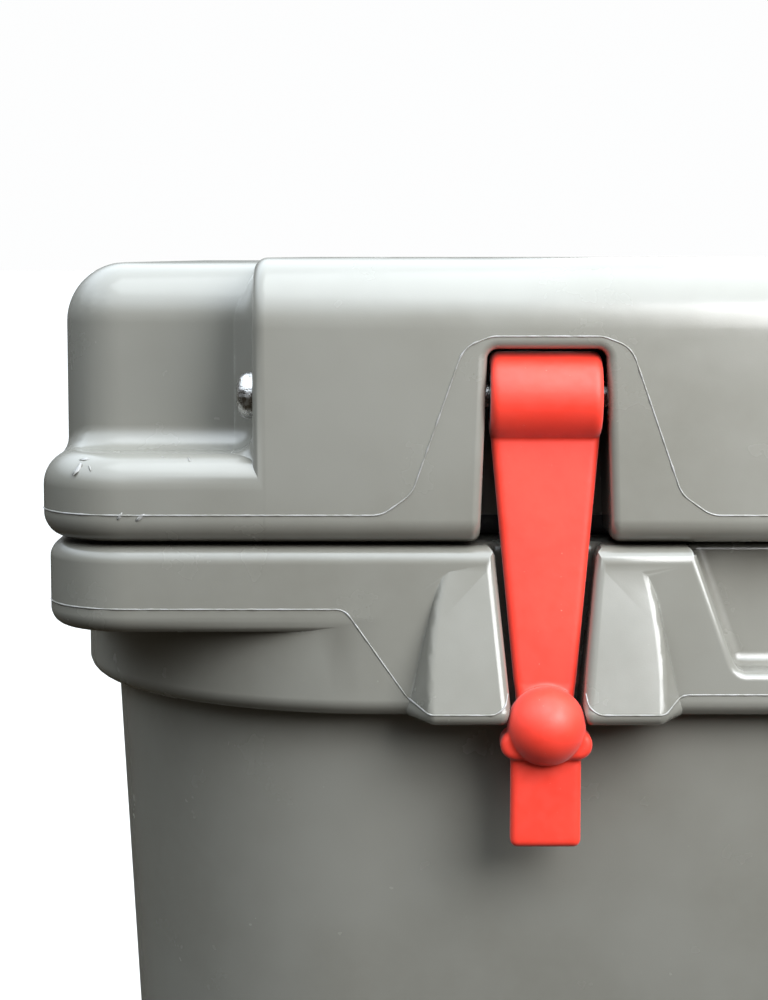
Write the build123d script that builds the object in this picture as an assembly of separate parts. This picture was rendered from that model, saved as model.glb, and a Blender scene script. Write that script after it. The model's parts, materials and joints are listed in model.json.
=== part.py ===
"""Small hard cooler chest: a double-walled, foam-filled tote with an attached lid.

Millimetres, +Z up. The front, with its two rubber T-latches, faces -Y. Everything is drawn about
the middle of the chest, and is moved back a little when it is written, so that the origin is on
the ground under the middle of the whole object, latches included. One STEP file is written for
each separate piece.
"""

import math
import os

from build123d import *

# ---------------------------------------------------------------- overall sizes
LENGTH = 560.0  # over the lid flange, along X
DEPTH = 400.0  # over the lid flange, along Y
BODY_HEIGHT = 306.0  # moulded body, from its base to its rim
LID_HEIGHT = 80.5  # from the lid's underside to its top
FOOT_STAND = 6.0  # how far the feet hold the moulding off the ground
LID_GAP = 1.0  # open joint between the rim and the lid flange

# ---------------------------------------------------------------- walls
SKIN = 5.0  # moulded skin round the foam
SIDE_WALL = 43.5  # lip face to basin, at the rim
FLOOR_WALL = 40.0  # base to basin floor
BASIN_CORNER = 30.0
BASIN_DRAFT = 1.5  # degrees
BASIN_FLOOR_ROUND = 14.0
WALL_DRAFT = 3.0  # degrees

# ---------------------------------------------------------------- body rim
LIP_INSET = 1.5  # lip face behind the lid flange's face
LIP_HEIGHT = 25.0
LIP_CORNER = 25.0
LIP_TOP_ROUND = 5.0
LIP_UNDER_ROUND = 5.0
RIM_INNER_ROUND = 4.0
APRON_HEIGHT = 48.9  # rim to the apron's lower edge
APRON_CORNER = 95.0
APRON_SIDE_INSET = 3.0  # apron ends behind the lip ends
APRON_LOW_ROUND = 5.0
WALL_INSET = 12.0  # wall behind the lip, at the apron's lower edge
WALL_CORNER = 85.0
BASE_ROUND = 10.0

# ---------------------------------------------------------------- lid
LID_CORNER = 25.0
LID_LOW_ROUND = 7.0
LID_TOP_ROUND = 20.0
FLANGE_INSET = 0.1  # flange face behind the main front face, a trace of the mould's joint
FLANGE_HEIGHT = 25.1  # lid underside to the corner shelves
SHELF_ROUND = 10.0
RECESS_LENGTH = 62.0  # corner recess, along X
RECESS_DEPTH = 25.0  # corner recess, along Y
COLUMN_INSET = 5.0  # lid ends above the flange stand in by this much
COLUMN_CORNER = 18.0
COLUMN_TOP_ROUND = 17.5
COLUMN_DROP = 1.4  # corner tops lie this much below the lid top
COLUMN_FOOT_ROUND = 7.0
RETURN_ROUND = 4.0  # edge between the front face and a corner recess
PANEL_DEPTH = 2.0  # shallow panel in the lid top
PANEL_MARGIN = 75.0
PANEL_CORNER = 30.0
INNER_LID_DEPTH = 12.0  # inner panel that drops into the basin
INNER_LID_CLEARANCE = 4.0
INNER_LID_ROUND = 4.0
FOAM_END_COVER = 7.0
FOAM_TOP_CHAMFER = 8.0

# ---------------------------------------------------------------- gasket
GASKET_WIDTH = 8.0
GASKET_GROOVE_DEPTH = 5.0
GASKET_FROM_BASIN = 10.0  # basin edge to the gasket's middle line
GASKET_AIR = 0.3  # left under the gasket when the lid is shut

# ---------------------------------------------------------------- latches
LATCH_FROM_END = 145.0  # lid end to the latch's middle
PIN_RADIUS = 4.0
PIN_HEAD_RADIUS = 6.7
PIN_HEAD_HEIGHT = 4.6
PIN_HEAD_ROUND = 3.4
PIN_SOCKET = 2.5  # hexagon socket, half its width across flats
PIN_SOCKET_DEPTH = 2.4
PIN_HOLD = 12.0  # pin end held in the lid past the notch
PIN_HEIGHT = 42.5  # above the rim
PIN_FROM_FACE = 10.0  # behind the lid's front face
RUNNING = 0.05  # radial clearance where one piece turns on another
BARREL_RADIUS = 12.6
BARREL_WIDTH = 31.6
BARREL_ROUND = 2.2
BUSH_RADIUS = 6.5
NOTCH_SIDE_AIR = 0.9  # between barrel end and notch, at the notch's top
NOTCH_FLARE = 2.0  # notch half-width gained by its mouth
NOTCH_TOP_AIR = 0.9
NOTCH_BACK_AIR = 9.0  # room behind the barrel
NOTCH_CORNER = 3.0
NOTCH_EDGE_ROUND = 2.8
STRAP_THICKNESS = 7.0
STRAP_BACK = 5.7  # strap's front face behind the lid's face, under the barrel
STRAP_FORWARD = 1.6  # and in front of it, at the ball
STRAP_TOP_WIDTH = 30.8
STRAP_END_WIDTH = 17.4
STRAP_END_ROUND = 2.2
STRAP_SPLIT = 38.0  # below the rim, where the strap ends and the T-end starts
BALL_RADIUS = 11.2
BALL_DROP = 50.0  # below the rim
BALL_FORWARD = 5.0  # in front of the lid's face
SHOULDER_WIDTH = 26.0
SHOULDER_HEIGHT = 8.5
SHOULDER_AIR = 1.5  # shoulders to the keepers' undersides
SHOULDER_THICKNESS = 11.0
SHOULDER_ROUND = 4.2  # ends, seen from the front
TAB_WIDTH = 20.0
TAB_DROP = 85.0  # below the rim
TAB_THICKNESS = 6.0
SOFT_ROUND = 2.0

# ---------------------------------------------------------------- keepers
KEEPER_TOP = 7.0  # below the rim, where a keeper starts
KEEPER_LOW = 49.4  # below the rim, its underside
KEEPER_PROUD = 12.0  # in front of the lip, at its underside
KEEPER_TOP_WIDTH = 15.2
KEEPER_LOW_WIDTH = 23.2
KEEPER_SPREAD = 8.0  # extra width at its root
KEEPER_ROUND = 3.0
KEEPER_ROOT = 2.0  # how deep a keeper is sunk in the lip
CHANNEL_TOP = 29.2  # strap channel width at the rim
CHANNEL_LOW = 19.4  # and at the keepers' undersides
CHANNEL_DEPTH = 11.5
CHANNEL_ROUND = 3.0
SEAT_AIR = 0.7  # round the ball

# ---------------------------------------------------------------- hand holds
SCOOP_FROM_LATCH = 42.0
SCOOP_SLANT = 13.0
SCOOP_HEIGHT = 36.0
SCOOP_DEPTH = 14.0
SCOOP_ROUND = 4.0
SCOOP_EDGE_ROUND = 2.5
POCKET_WIDTH = 116.0
POCKET_HEIGHT = 46.0
POCKET_DEPTH = 22.0
POCKET_ROUND = 10.0
POCKET_EDGE_ROUND = 5.0

# ---------------------------------------------------------------- hinge
HINGE_IN = 16.0  # axis from the lid's rear face, and above its underside
KNUCKLE_RADIUS = 14.0
KNUCKLE_WIDTH = 60.0
KNUCKLE_SIDE_AIR = 2.0
KNUCKLE_WEB = 22.0
KNUCKLE_AIR = 2.5
PAST_UPRIGHT = math.radians(10)  # the lid opens this far past upright
REAR_RIM_ROUND = 18.0
ROD_HEAD_RADIUS = 5.5
ROD_HEAD_HEIGHT = 2.5
ROD_SINK = 11.0  # rod head below the lid's end face
ROD_HOLD = 14.0  # rod end held in the lid past the knuckle
BUSH_FLANGE = 1.2

# ---------------------------------------------------------------- drain
DRAIN_ABOVE_FLOOR = 11.0
DRAIN_BORE = 8.0
DRAIN_TUBE = 11.0
DRAIN_FLANGE = 16.0
DRAIN_FLANGE_THICKNESS = 3.0
DRAIN_RECESS = 30.0
DRAIN_RECESS_DEPTH = 9.0
DRAIN_SEAL_THICKNESS = 1.5
DRAIN_NUT = 15.0
DRAIN_NUT_THICKNESS = 6.0
DRAIN_SUMP = 18.0
DRAIN_SPOT = 1.2  # flat let into the drafted basin wall
PLUG_STEM = 7.7
PLUG_STEM_LENGTH = 19.0
PLUG_CAP = 14.0
PLUG_CAP_THICKNESS = 3.4
PLUG_GRIP_HEIGHT = 5.0
PLUG_GRIP_THICKNESS = 6.0
PLUG_AIR = 0.3
O_RING_SECTION = 1.0
O_RING_BACK = 11.0  # from the cap's underside

# ---------------------------------------------------------------- feet and fill plugs
FOOT_RADIUS = 22.0
FOOT_SEAT = 3.0  # foot let into the base
FOOT_INSET = 44.0  # from the base's edges
FOOT_ROUND = 2.5
SCREW_RADIUS = 2.5
SCREW_HEAD_RADIUS = 5.0
SCREW_HEAD_HEIGHT = 3.0
SCREW_SINK = 4.5  # counterbore in the foot
SCREW_LENGTH = 18.0
SCREW_BOSS = 9.0
FILL_RADIUS = 12.0
FILL_CAP_RADIUS = 15.0
FILL_CAP_THICKNESS = 2.5

# ---------------------------------------------------------------- levels and faces worked out
BASE_Z = FOOT_STAND
RIM_Z = BASE_Z + BODY_HEIGHT
LID_Z = RIM_Z + LID_GAP
TOP_Z = LID_Z + LID_HEIGHT
SHELF_Z = LID_Z + FLANGE_HEIGHT
LIP_Z = RIM_Z - LIP_HEIGHT
APRON_Z = RIM_Z - APRON_HEIGHT
FLOOR_Z = BASE_Z + FLOOR_WALL

LIP_LENGTH = LENGTH - 2 * LIP_INSET
LIP_DEPTH = DEPTH - 2 * LIP_INSET
LID_FRONT = -DEPTH / 2
LIP_FRONT = -LIP_DEPTH / 2
BASIN_LENGTH = LIP_LENGTH - 2 * SIDE_WALL
BASIN_DEPTH = LIP_DEPTH - 2 * SIDE_WALL
BASIN_SLOPE = math.tan(math.radians(BASIN_DRAFT))
WALL_SLOPE = math.tan(math.radians(WALL_DRAFT))
WALL_TOP_Z = LIP_Z + 3.0

LATCH_X = LENGTH / 2 - LATCH_FROM_END
PIN_Y = LID_FRONT + PIN_FROM_FACE
PIN_Z = RIM_Z + PIN_HEIGHT
RECESS_X = LENGTH / 2 - RECESS_LENGTH
COLUMN_FRONT = DEPTH / 2 - RECESS_DEPTH
NOTCH_HALF = BARREL_WIDTH / 2 + NOTCH_SIDE_AIR
NOTCH_TOP_Z = PIN_Z + BARREL_RADIUS + NOTCH_TOP_AIR
NOTCH_BACK_Y = PIN_Y + BARREL_RADIUS + NOTCH_BACK_AIR
KEEPER_LOW_Z = RIM_Z - KEEPER_LOW
BALL_Y = LID_FRONT - BALL_FORWARD
BALL_Z = RIM_Z - BALL_DROP
STRAP_SPLIT_Z = RIM_Z - STRAP_SPLIT
CHANNEL_BACK_Y = LIP_FRONT + CHANNEL_DEPTH

HINGE_Y = DEPTH / 2 - HINGE_IN
HINGE_Z = LID_Z + HINGE_IN
ORIGIN_SHIFT = (BALL_FORWARD + BALL_RADIUS) / 2  # puts the origin under the middle of everything
BEYOND = 40.0  # how far a cutting tool runs past the moulding
ABOVE = 20.0  # how far an outline on the front runs above the rim
FLARE_BITE = 0.96  # share of its radius that a flare sinks, so that it crosses the face cleanly


def wall_half(full, z):
    """Half the outer size of the drafted wall at a height, from the lip's full size."""
    return full / 2 - WALL_INSET - (APRON_Z - z) * WALL_SLOPE


def basin_half(full, z):
    """Half the size of the drafted basin at a height, from its full size at the rim."""
    return full / 2 - (RIM_Z - z) * BASIN_SLOPE


def slab(length, depth, corner, z_low, z_high):
    """An upright block with rounded corners in plan."""
    return extrude(Pos(0, 0, z_low) * RectangleRounded(length, depth, corner), z_high - z_low)


def tapered(length, depth, corner, z_high, z_low, draft):
    """The same, with walls that lean inwards towards the bottom."""
    plane = Plane(origin=(0, 0, z_high), x_dir=(1, 0, 0), z_dir=(0, 0, -1))
    return extrude(plane * RectangleRounded(length, depth, corner), z_high - z_low, taper=draft)


def top_edges(solid):
    return solid.edges().group_by(Axis.Z)[-1]


def low_edges(solid):
    return solid.edges().group_by(Axis.Z)[0]


def prism_y(outline, y_front, y_back):
    """A prism along Y over an (x, z) outline."""
    face = make_face(Polyline([(x, y_front, z) for x, z in outline], close=True))
    return extrude(face, amount=y_back - y_front, dir=(0, 1, 0))


def prism_x(outline, x_low, x_high):
    """A prism along X over a (y, z) outline."""
    face = make_face(Polyline([(x_low, y, z) for y, z in outline], close=True))
    return extrude(face, amount=x_high - x_low, dir=(1, 0, 0))


def rod_x(radius, x_low, x_high, y, z):
    """A round bar along X."""
    plane = Plane(origin=(x_low, y, z), x_dir=(0, 1, 0), z_dir=(1, 0, 0))
    return extrude(plane * Circle(radius), x_high - x_low)


def rod_z(radius, x, y, z_low, z_high):
    """A round bar along Z."""
    return extrude(Pos(x, y, z_low) * Circle(radius), z_high - z_low)


FRONT_VIEW = Plane(origin=(0, LIP_FRONT, 0), x_dir=(1, 0, 0), z_dir=(0, -1, 0))  # (x, z) outlines
TOP_VIEW = Plane(origin=(0, 0, RIM_Z), x_dir=(1, 0, 0), z_dir=(0, 0, 1))  # (x, y) outlines


def flare(plane, outline, corner, mouth):
    """A cutter that rounds the edge of an opening where it meets a flat face of the body."""
    face = make_face(Polyline(outline, close=True))
    wide = plane * offset(fillet(face.vertices(), corner), mouth, kind=Kind.ARC)
    outward = plane.z_dir
    path = (Pos(*(outward * -mouth)) * wide).faces()[0].outer_wire()
    section = Plane(origin=path.position_at(0), z_dir=path.tangent_at(0)) * Circle(mouth)
    ring = sweep(section, path=path)
    sunk = Pos(*(outward * -mouth * FLARE_BITE)) * wide
    return extrude(sunk, amount=BEYOND, dir=outward) - ring


def both_sides(solid):
    """A piece and its mirror image on the other side of the chest."""
    return [solid, mirror(solid, about=Plane.YZ)]


# ================================================================ lid
def flange():
    """The lid's lower slab, whose top forms the shelves at the four corners."""
    block = slab(LENGTH, DEPTH - 2 * FLANGE_INSET, LID_CORNER, LID_Z, SHELF_Z)
    block = fillet(top_edges(block), SHELF_ROUND)
    return fillet(low_edges(block), LID_LOW_ROUND)


def main_block():
    """The full-depth middle of the lid, with its large top rounding."""
    profile = Plane.YZ * Pos(0, (LID_Z + TOP_Z) / 2) * Rectangle(DEPTH, TOP_Z - LID_Z)
    block = extrude(profile, RECESS_X, both=True)
    block = fillet(block.edges().filter_by(Axis.X).group_by(Axis.Z)[-1], LID_TOP_ROUND)
    block = fillet(block.edges().filter_by(Axis.X).group_by(Axis.Z)[0], LID_LOW_ROUND)
    ends = block.faces().filter_by(Axis.X)
    return fillet(ends.edges(), RETURN_ROUND)


def corner_columns():
    """The block that stands behind the corner recesses and reaches the lid's ends."""
    length = LENGTH - 2 * COLUMN_INSET
    depth = 2 * COLUMN_FRONT
    block = slab(length, depth, COLUMN_CORNER, LID_Z + 1.0 + LID_LOW_ROUND, TOP_Z - COLUMN_DROP)
    return fillet(top_edges(block), COLUMN_TOP_ROUND)


def lid_outer():
    base = flange() + corner_columns()
    feet = [e for e in base.edges() if is_column_foot(e)]
    base = fillet(feet, COLUMN_FOOT_ROUND)
    return base + main_block()


def outline_gap(point, length, depth, corner):
    """How far a point lies outside a rounded rectangle's outline in plan."""
    out_x = max(abs(point.X) - (length / 2 - corner), 0)
    out_y = max(abs(point.Y) - (depth / 2 - corner), 0)
    return math.hypot(out_x, out_y) - corner


def is_column_foot(edge):
    """Edges where the corner columns rise out of the flange."""
    middle = edge.position_at(0.5)
    low = SHELF_Z - SHELF_ROUND < middle.Z < SHELF_Z + 0.1
    gap = outline_gap(middle, LENGTH - 2 * COLUMN_INSET, 2 * COLUMN_FRONT, COLUMN_CORNER)
    return low and abs(gap) < 0.05


def latch_notch(x):
    """The opening in the lid's front that the latch hangs in."""
    outline = [
        (x - NOTCH_HALF - NOTCH_FLARE, LID_Z - 1),
        (x - NOTCH_HALF, NOTCH_TOP_Z),
        (x + NOTCH_HALF, NOTCH_TOP_Z),
        (x + NOTCH_HALF + NOTCH_FLARE, LID_Z - 1),
    ]
    tool = prism_y(outline, LID_FRONT - BEYOND, NOTCH_BACK_Y)
    upper = tool.edges().filter_by(Axis.Y).group_by(Axis.Z)[-1]
    return fillet(upper, NOTCH_CORNER)


def knuckle_window(x):
    """Room in the lid's rear for a hinge knuckle, over the whole swing of the lid."""
    half = KNUCKLE_WIDTH / 2 + KNUCKLE_SIDE_AIR
    radius = KNUCKLE_RADIUS + KNUCKLE_AIR
    front = HINGE_Y - KNUCKLE_WEB / 2 - KNUCKLE_AIR / 2
    web = KNUCKLE_WEB / 2
    top = HINGE_Z + HINGE_IN * math.tan(PAST_UPRIGHT) + web / math.cos(PAST_UPRIGHT) + KNUCKLE_AIR
    rear = DEPTH / 2 + BEYOND
    outline = [(front, LID_Z - 1), (front, HINGE_Z), (HINGE_Y, top), (rear, top), (rear, LID_Z - 1)]
    return rod_x(radius, x - half, x + half, HINGE_Y, HINGE_Z) + prism_x(outline, x - half, x + half)


def rear_swing_cut():
    """What comes off the lid's lower rear edge, so that it turns about the hinge without touching."""
    corner = prism_x(
        [
            (HINGE_Y, LID_Z - BEYOND),
            (HINGE_Y, HINGE_Z),
            (DEPTH / 2 + BEYOND, HINGE_Z),
            (DEPTH / 2 + BEYOND, LID_Z - BEYOND),
        ],
        -LENGTH,
        LENGTH,
    )
    return corner - rod_x(HINGE_IN, -LENGTH, LENGTH, HINGE_Y, HINGE_Z)


def gasket_ring(width, z_low, z_high):
    """A ring on the gasket's middle line."""
    length = BASIN_LENGTH + 2 * GASKET_FROM_BASIN
    depth = BASIN_DEPTH + 2 * GASKET_FROM_BASIN
    corner = BASIN_CORNER + GASKET_FROM_BASIN
    outer = slab(length + width, depth + width, corner + width / 2, z_low, z_high)
    return outer - slab(length - width, depth - width, corner - width / 2, z_low, z_high)


def inner_lid():
    """The panel under the lid that drops into the basin."""
    length = BASIN_LENGTH - 2 * INNER_LID_CLEARANCE
    depth = BASIN_DEPTH - 2 * INNER_LID_CLEARANCE
    corner = BASIN_CORNER - INNER_LID_CLEARANCE
    block = slab(length, depth, corner, LID_Z - INNER_LID_DEPTH, LID_Z + 1)
    return fillet(low_edges(block), INNER_LID_ROUND)


def lid_foam():
    """The foam core of the lid."""
    low = LID_Z + SKIN + GASKET_GROOVE_DEPTH
    front = NOTCH_BACK_Y + SKIN
    rear = HINGE_Y - KNUCKLE_RADIUS - KNUCKLE_AIR - SKIN
    length = LENGTH - 2 * COLUMN_INSET - 2 * FOAM_END_COVER
    core = Pos(0, (front + rear) / 2, low) * RectangleRounded(length, rear - front, COLUMN_CORNER)
    foam = extrude(core, TOP_Z - PANEL_DEPTH - SKIN - low)
    foam = chamfer(top_edges(foam), FOAM_TOP_CHAMFER)
    tongue_half = LATCH_X - NOTCH_HALF - PIN_HOLD - SKIN
    tongue = Plane.XY * Pos(0, (LID_FRONT + 2 * SKIN + front) / 2, low)
    tongue_depth = front - LID_FRONT - 2 * SKIN + 1
    foam += extrude(
        tongue * RectangleRounded(2 * tongue_half, tongue_depth, SKIN),
        TOP_Z - LID_TOP_ROUND - low,
    )
    centre = slab(
        BASIN_LENGTH - 2 * INNER_LID_CLEARANCE - 2 * SKIN,
        BASIN_DEPTH - 2 * INNER_LID_CLEARANCE - 2 * SKIN,
        BASIN_CORNER - INNER_LID_CLEARANCE - SKIN,
        LID_Z - INNER_LID_DEPTH + SKIN,
        low + 1,
    )
    return foam + centre


def fill_plug(z, upward):
    """A pressed-in cap that closes a foam filling hole, with its face at height z."""
    way = 1 if upward else -1
    cap = extrude(Pos(0, 0, z) * Circle(FILL_CAP_RADIUS), way * FILL_CAP_THICKNESS)
    stem = extrude(Pos(0, 0, z) * Circle(FILL_RADIUS), way * SKIN)
    return cap + stem


def lid_shell(foam, plug, gasket_groove):
    solid = lid_outer()
    panel = slab(
        LENGTH - 2 * PANEL_MARGIN, DEPTH - 2 * PANEL_MARGIN, PANEL_CORNER, TOP_Z - PANEL_DEPTH, TOP_Z + 1
    )
    solid -= panel
    solid -= rear_swing_cut()
    for x in (-LATCH_X, LATCH_X):
        solid -= latch_notch(x)
        solid -= knuckle_window(x)
    mouths = [e for e in solid.edges() if is_notch_mouth(e)]
    solid = fillet(mouths, NOTCH_EDGE_ROUND)
    solid += inner_lid()
    for side in (-1, 1):
        inner_end = side * (LATCH_X - NOTCH_HALF - PIN_HOLD)
        solid -= rod_x(PIN_RADIUS, *sorted((inner_end, side * RECESS_X)), PIN_Y, PIN_Z)
        rod_end = side * (LATCH_X - KNUCKLE_WIDTH / 2 - ROD_HOLD)
        head = side * (LENGTH / 2 - ROD_SINK)
        outside = side * (LENGTH / 2 + BEYOND)
        solid -= rod_x(PIN_RADIUS, *sorted((rod_end, head)), HINGE_Y, HINGE_Z)
        solid -= rod_x(ROD_HEAD_RADIUS + RUNNING, *sorted((head, outside)), HINGE_Y, HINGE_Z)
    return solid - gasket_groove - foam - plug


def is_notch_mouth(edge):
    """The edges round a latch notch where it opens on the lid's front face."""
    middle = edge.position_at(0.5)
    on_face = abs(middle.Y - LID_FRONT) < 0.01
    beside = abs(abs(middle.X) - LATCH_X) < NOTCH_HALF + NOTCH_FLARE + 0.1
    return on_face and beside and LID_Z + 1 < middle.Z < NOTCH_TOP_Z + 0.1


def gasket():
    ring = gasket_ring(GASKET_WIDTH, RIM_Z + GASKET_AIR, LID_Z + GASKET_GROOVE_DEPTH)
    return fillet(low_edges(ring), SOFT_ROUND)


def latch_pin():
    """Stainless pin of the left latch: a domed head with a hexagon socket, and a plain shank."""
    inner_end = -(LATCH_X - NOTCH_HALF - PIN_HOLD)
    shank = rod_x(PIN_RADIUS, -RECESS_X, inner_end, PIN_Y, PIN_Z)
    head = rod_x(PIN_HEAD_RADIUS, -RECESS_X - PIN_HEAD_HEIGHT, -RECESS_X, PIN_Y, PIN_Z)
    head = fillet(head.edges().group_by(Axis.X)[0], PIN_HEAD_ROUND)
    plane = Plane(
        origin=(-RECESS_X - PIN_HEAD_HEIGHT, PIN_Y, PIN_Z), x_dir=(0, 1, 0), z_dir=(1, 0, 0)
    )
    corner_radius = PIN_SOCKET / math.cos(math.pi / 6)
    socket = extrude(plane * RegularPolygon(corner_radius, 6), PIN_SOCKET_DEPTH)
    return shank + head - socket


def hinge_rod():
    """Stainless hinge rod of the left hinge, with a low domed head sunk in the lid's end."""
    end = -(LATCH_X - KNUCKLE_WIDTH / 2 - ROD_HOLD)
    seat = -(LENGTH / 2 - ROD_SINK)
    rod = rod_x(PIN_RADIUS, seat, end, HINGE_Y, HINGE_Z)
    head = rod_x(ROD_HEAD_RADIUS, seat - ROD_HEAD_HEIGHT, seat, HINGE_Y, HINGE_Z)
    head = fillet(head.edges().group_by(Axis.X)[0], ROD_HEAD_HEIGHT * 0.8)
    return rod + head


# ================================================================ latches
def latch_bush(x):
    """Plain sleeve inside the latch's barrel, which turns on the pin."""
    half = BARREL_WIDTH / 2
    sleeve = rod_x(BUSH_RADIUS, x - half, x + half, PIN_Y, PIN_Z)
    return sleeve - rod_x(PIN_RADIUS + RUNNING, x - half, x + half, PIN_Y, PIN_Z)


def strap_half_width(z):
    """The strap narrows evenly from the barrel to the ball."""
    top = PIN_Z - BARREL_RADIUS
    share = (top - z) / (top - (BALL_Z + BALL_RADIUS))
    return (STRAP_TOP_WIDTH + share * (STRAP_END_WIDTH - STRAP_TOP_WIDTH)) / 2


def strap_front(z):
    """The strap's front face leans forward from under the barrel down to the ball."""
    top = PIN_Z - BARREL_RADIUS
    share = (top - z) / (top - BALL_Z)
    return LID_FRONT + STRAP_BACK - share * (STRAP_BACK + STRAP_FORWARD)


def strap_blade(x, z_high, z_low):
    """A stretch of the flat strap, with soft long edges."""
    high, low = strap_half_width(z_high), strap_half_width(z_low)
    outline = [(x - low, z_low), (x - high, z_high), (x + high, z_high), (x + low, z_low)]
    front_high, front_low = strap_front(z_high), strap_front(z_low)
    side_view = [
        (front_low, z_low),
        (front_high, z_high),
        (front_high + STRAP_THICKNESS, z_high),
        (front_low + STRAP_THICKNESS, z_low),
    ]
    blade = prism_y(outline, LID_FRONT - BEYOND, LID_FRONT + BEYOND)
    blade &= prism_x(side_view, x - STRAP_TOP_WIDTH, x + STRAP_TOP_WIDTH)
    long_edges = [e for e in blade.edges() if e.length > 0.9 * (z_high - z_low)]
    return fillet(long_edges, STRAP_END_ROUND)


def latch_strap(x):
    """The rubber barrel and the strap down to just above the ball."""
    half = BARREL_WIDTH / 2
    barrel = rod_x(BARREL_RADIUS, x - half, x + half, PIN_Y, PIN_Z)
    barrel = fillet(barrel.edges().filter_by(GeomType.CIRCLE), BARREL_ROUND)
    strap = barrel + strap_blade(x, PIN_Z - BUSH_RADIUS - 1, STRAP_SPLIT_Z)
    return strap - rod_x(BUSH_RADIUS, x - half, x + half, PIN_Y, PIN_Z)


def latch_end(x):
    """The T-end: strap stub, ball, the shoulders that hook under the keepers, and the pull tab."""
    shoulder_z = KEEPER_LOW_Z - SHOULDER_AIR
    shoulder_y = BALL_Y - SHOULDER_THICKNESS / 2 + SOFT_ROUND
    stub = strap_blade(x, STRAP_SPLIT_Z, BALL_Z)
    ball = Pos(x, BALL_Y, BALL_Z) * Sphere(BALL_RADIUS)
    shoulders = Pos(x, shoulder_y + SHOULDER_THICKNESS / 2, shoulder_z - SHOULDER_HEIGHT / 2) * Box(
        SHOULDER_WIDTH, SHOULDER_THICKNESS, SHOULDER_HEIGHT
    )
    shoulders = fillet(shoulders.edges().filter_by(Axis.Y), SHOULDER_ROUND)
    shoulders = fillet(shoulders.edges(), SOFT_ROUND)
    tab_high = shoulder_z - SHOULDER_HEIGHT / 2
    tab_low = RIM_Z - TAB_DROP
    tab = Pos(x, shoulder_y + SHOULDER_THICKNESS / 2, (tab_high + tab_low) / 2) * Box(
        TAB_WIDTH, TAB_THICKNESS, tab_high - tab_low
    )
    tab = fillet(tab.edges(), SOFT_ROUND)
    return stub + ball + shoulders + tab


# ================================================================ body
def lip():
    block = slab(LIP_LENGTH, LIP_DEPTH, LIP_CORNER, LIP_Z, RIM_Z)
    block = fillet(top_edges(block), LIP_TOP_ROUND)
    return fillet(low_edges(block), LIP_UNDER_ROUND)


def apron():
    """The skirt under the lip, flush with its long sides and far rounder in plan."""
    length = LIP_LENGTH - 2 * APRON_SIDE_INSET
    block = slab(length, LIP_DEPTH, APRON_CORNER, APRON_Z, RIM_Z - LIP_TOP_ROUND - 1)
    return fillet(low_edges(block), APRON_LOW_ROUND)


def wall():
    top_length = 2 * wall_half(LIP_LENGTH, WALL_TOP_Z)
    top_depth = 2 * wall_half(LIP_DEPTH, WALL_TOP_Z)
    block = tapered(top_length, top_depth, WALL_CORNER, WALL_TOP_Z, BASE_Z, WALL_DRAFT)
    return fillet(low_edges(block), BASE_ROUND)


def keeper(x, side):
    """One of the two wedges beside a strap channel. side is +1 on the right of the latch."""
    low, high, root = KEEPER_LOW_Z, RIM_Z - KEEPER_TOP, LIP_FRONT + KEEPER_ROOT
    front_low = LIP_FRONT - KEEPER_PROUD
    slope = KEEPER_PROUD / (high - low)
    buried_z = high + KEEPER_ROOT / slope
    top = high + 1
    inner = x + side * CHANNEL_LOW / 4
    outer_top = x + side * (CHANNEL_TOP / 2 + KEEPER_TOP_WIDTH)
    outer_low = x + side * (CHANNEL_LOW / 2 + KEEPER_LOW_WIDTH)
    x_range = sorted((inner, outer_low + side * KEEPER_SPREAD))
    wedge = prism_x([(front_low, low), (root, buried_z), (root, low)], *x_range)
    lean = (outer_low - outer_top) / (high - low)
    mask = [(inner, low - 1), (outer_low + lean, low - 1), (outer_top - lean, top), (inner, top)]
    spreads = (0, side * KEEPER_SPREAD, 0, 0)
    front = make_face(Polyline([(px, front_low, pz) for px, pz in mask], close=True))
    back = make_face(
        Polyline([(px + wide, root, pz) for (px, pz), wide in zip(mask, spreads)], close=True)
    )
    block = (wedge & loft([front, back])) - strap_channel(x)
    proud = [e for e in block.edges() if min(v.Y for v in e.vertices()) < front_low + 0.5]
    return fillet(proud, KEEPER_ROUND)


def channel_half(below_rim):
    """Half the strap channel's width at a depth below the rim."""
    lean = (CHANNEL_TOP - CHANNEL_LOW) / 2 / KEEPER_LOW
    return CHANNEL_TOP / 2 - lean * below_rim


def channel_outline(x, below_rim):
    low, high = channel_half(below_rim), channel_half(-ABOVE)
    low_z, high_z = RIM_Z - below_rim, RIM_Z + ABOVE
    return [(x - low, low_z), (x + low, low_z), (x + high, high_z), (x - high, high_z)]


def strap_channel(x):
    """The slot in the lip, apron and keepers that a strap lies in."""
    return prism_y(channel_outline(x, KEEPER_LOW + 1), LIP_FRONT - BEYOND, CHANNEL_BACK_Y)


def plan_outline(x, half, depth):
    """A rectangle in plan that is open towards the front."""
    near, far = LIP_FRONT - ABOVE, LIP_FRONT + depth
    return [(x - half, near), (x + half, near), (x + half, far), (x - half, far)]


def channel_flares(x):
    """The rounded edges of a strap channel, on the lip's face and on the rim."""
    front = flare(FRONT_VIEW, channel_outline(x, KEEPER_LOW + ABOVE), 1.0, CHANNEL_ROUND)
    top = flare(TOP_VIEW, plan_outline(x, CHANNEL_TOP / 2, CHANNEL_DEPTH), 1.0, CHANNEL_ROUND)
    return [front, top]


SCOOP_HALF = LATCH_X - SCOOP_FROM_LATCH


def scoop_outline():
    rise = ABOVE * SCOOP_SLANT / SCOOP_HEIGHT
    low_z, high_z = RIM_Z - SCOOP_HEIGHT, RIM_Z + ABOVE
    low, high = SCOOP_HALF - SCOOP_SLANT, SCOOP_HALF + rise
    return [(-low, low_z), (low, low_z), (high, high_z), (-high, high_z)]


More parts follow.
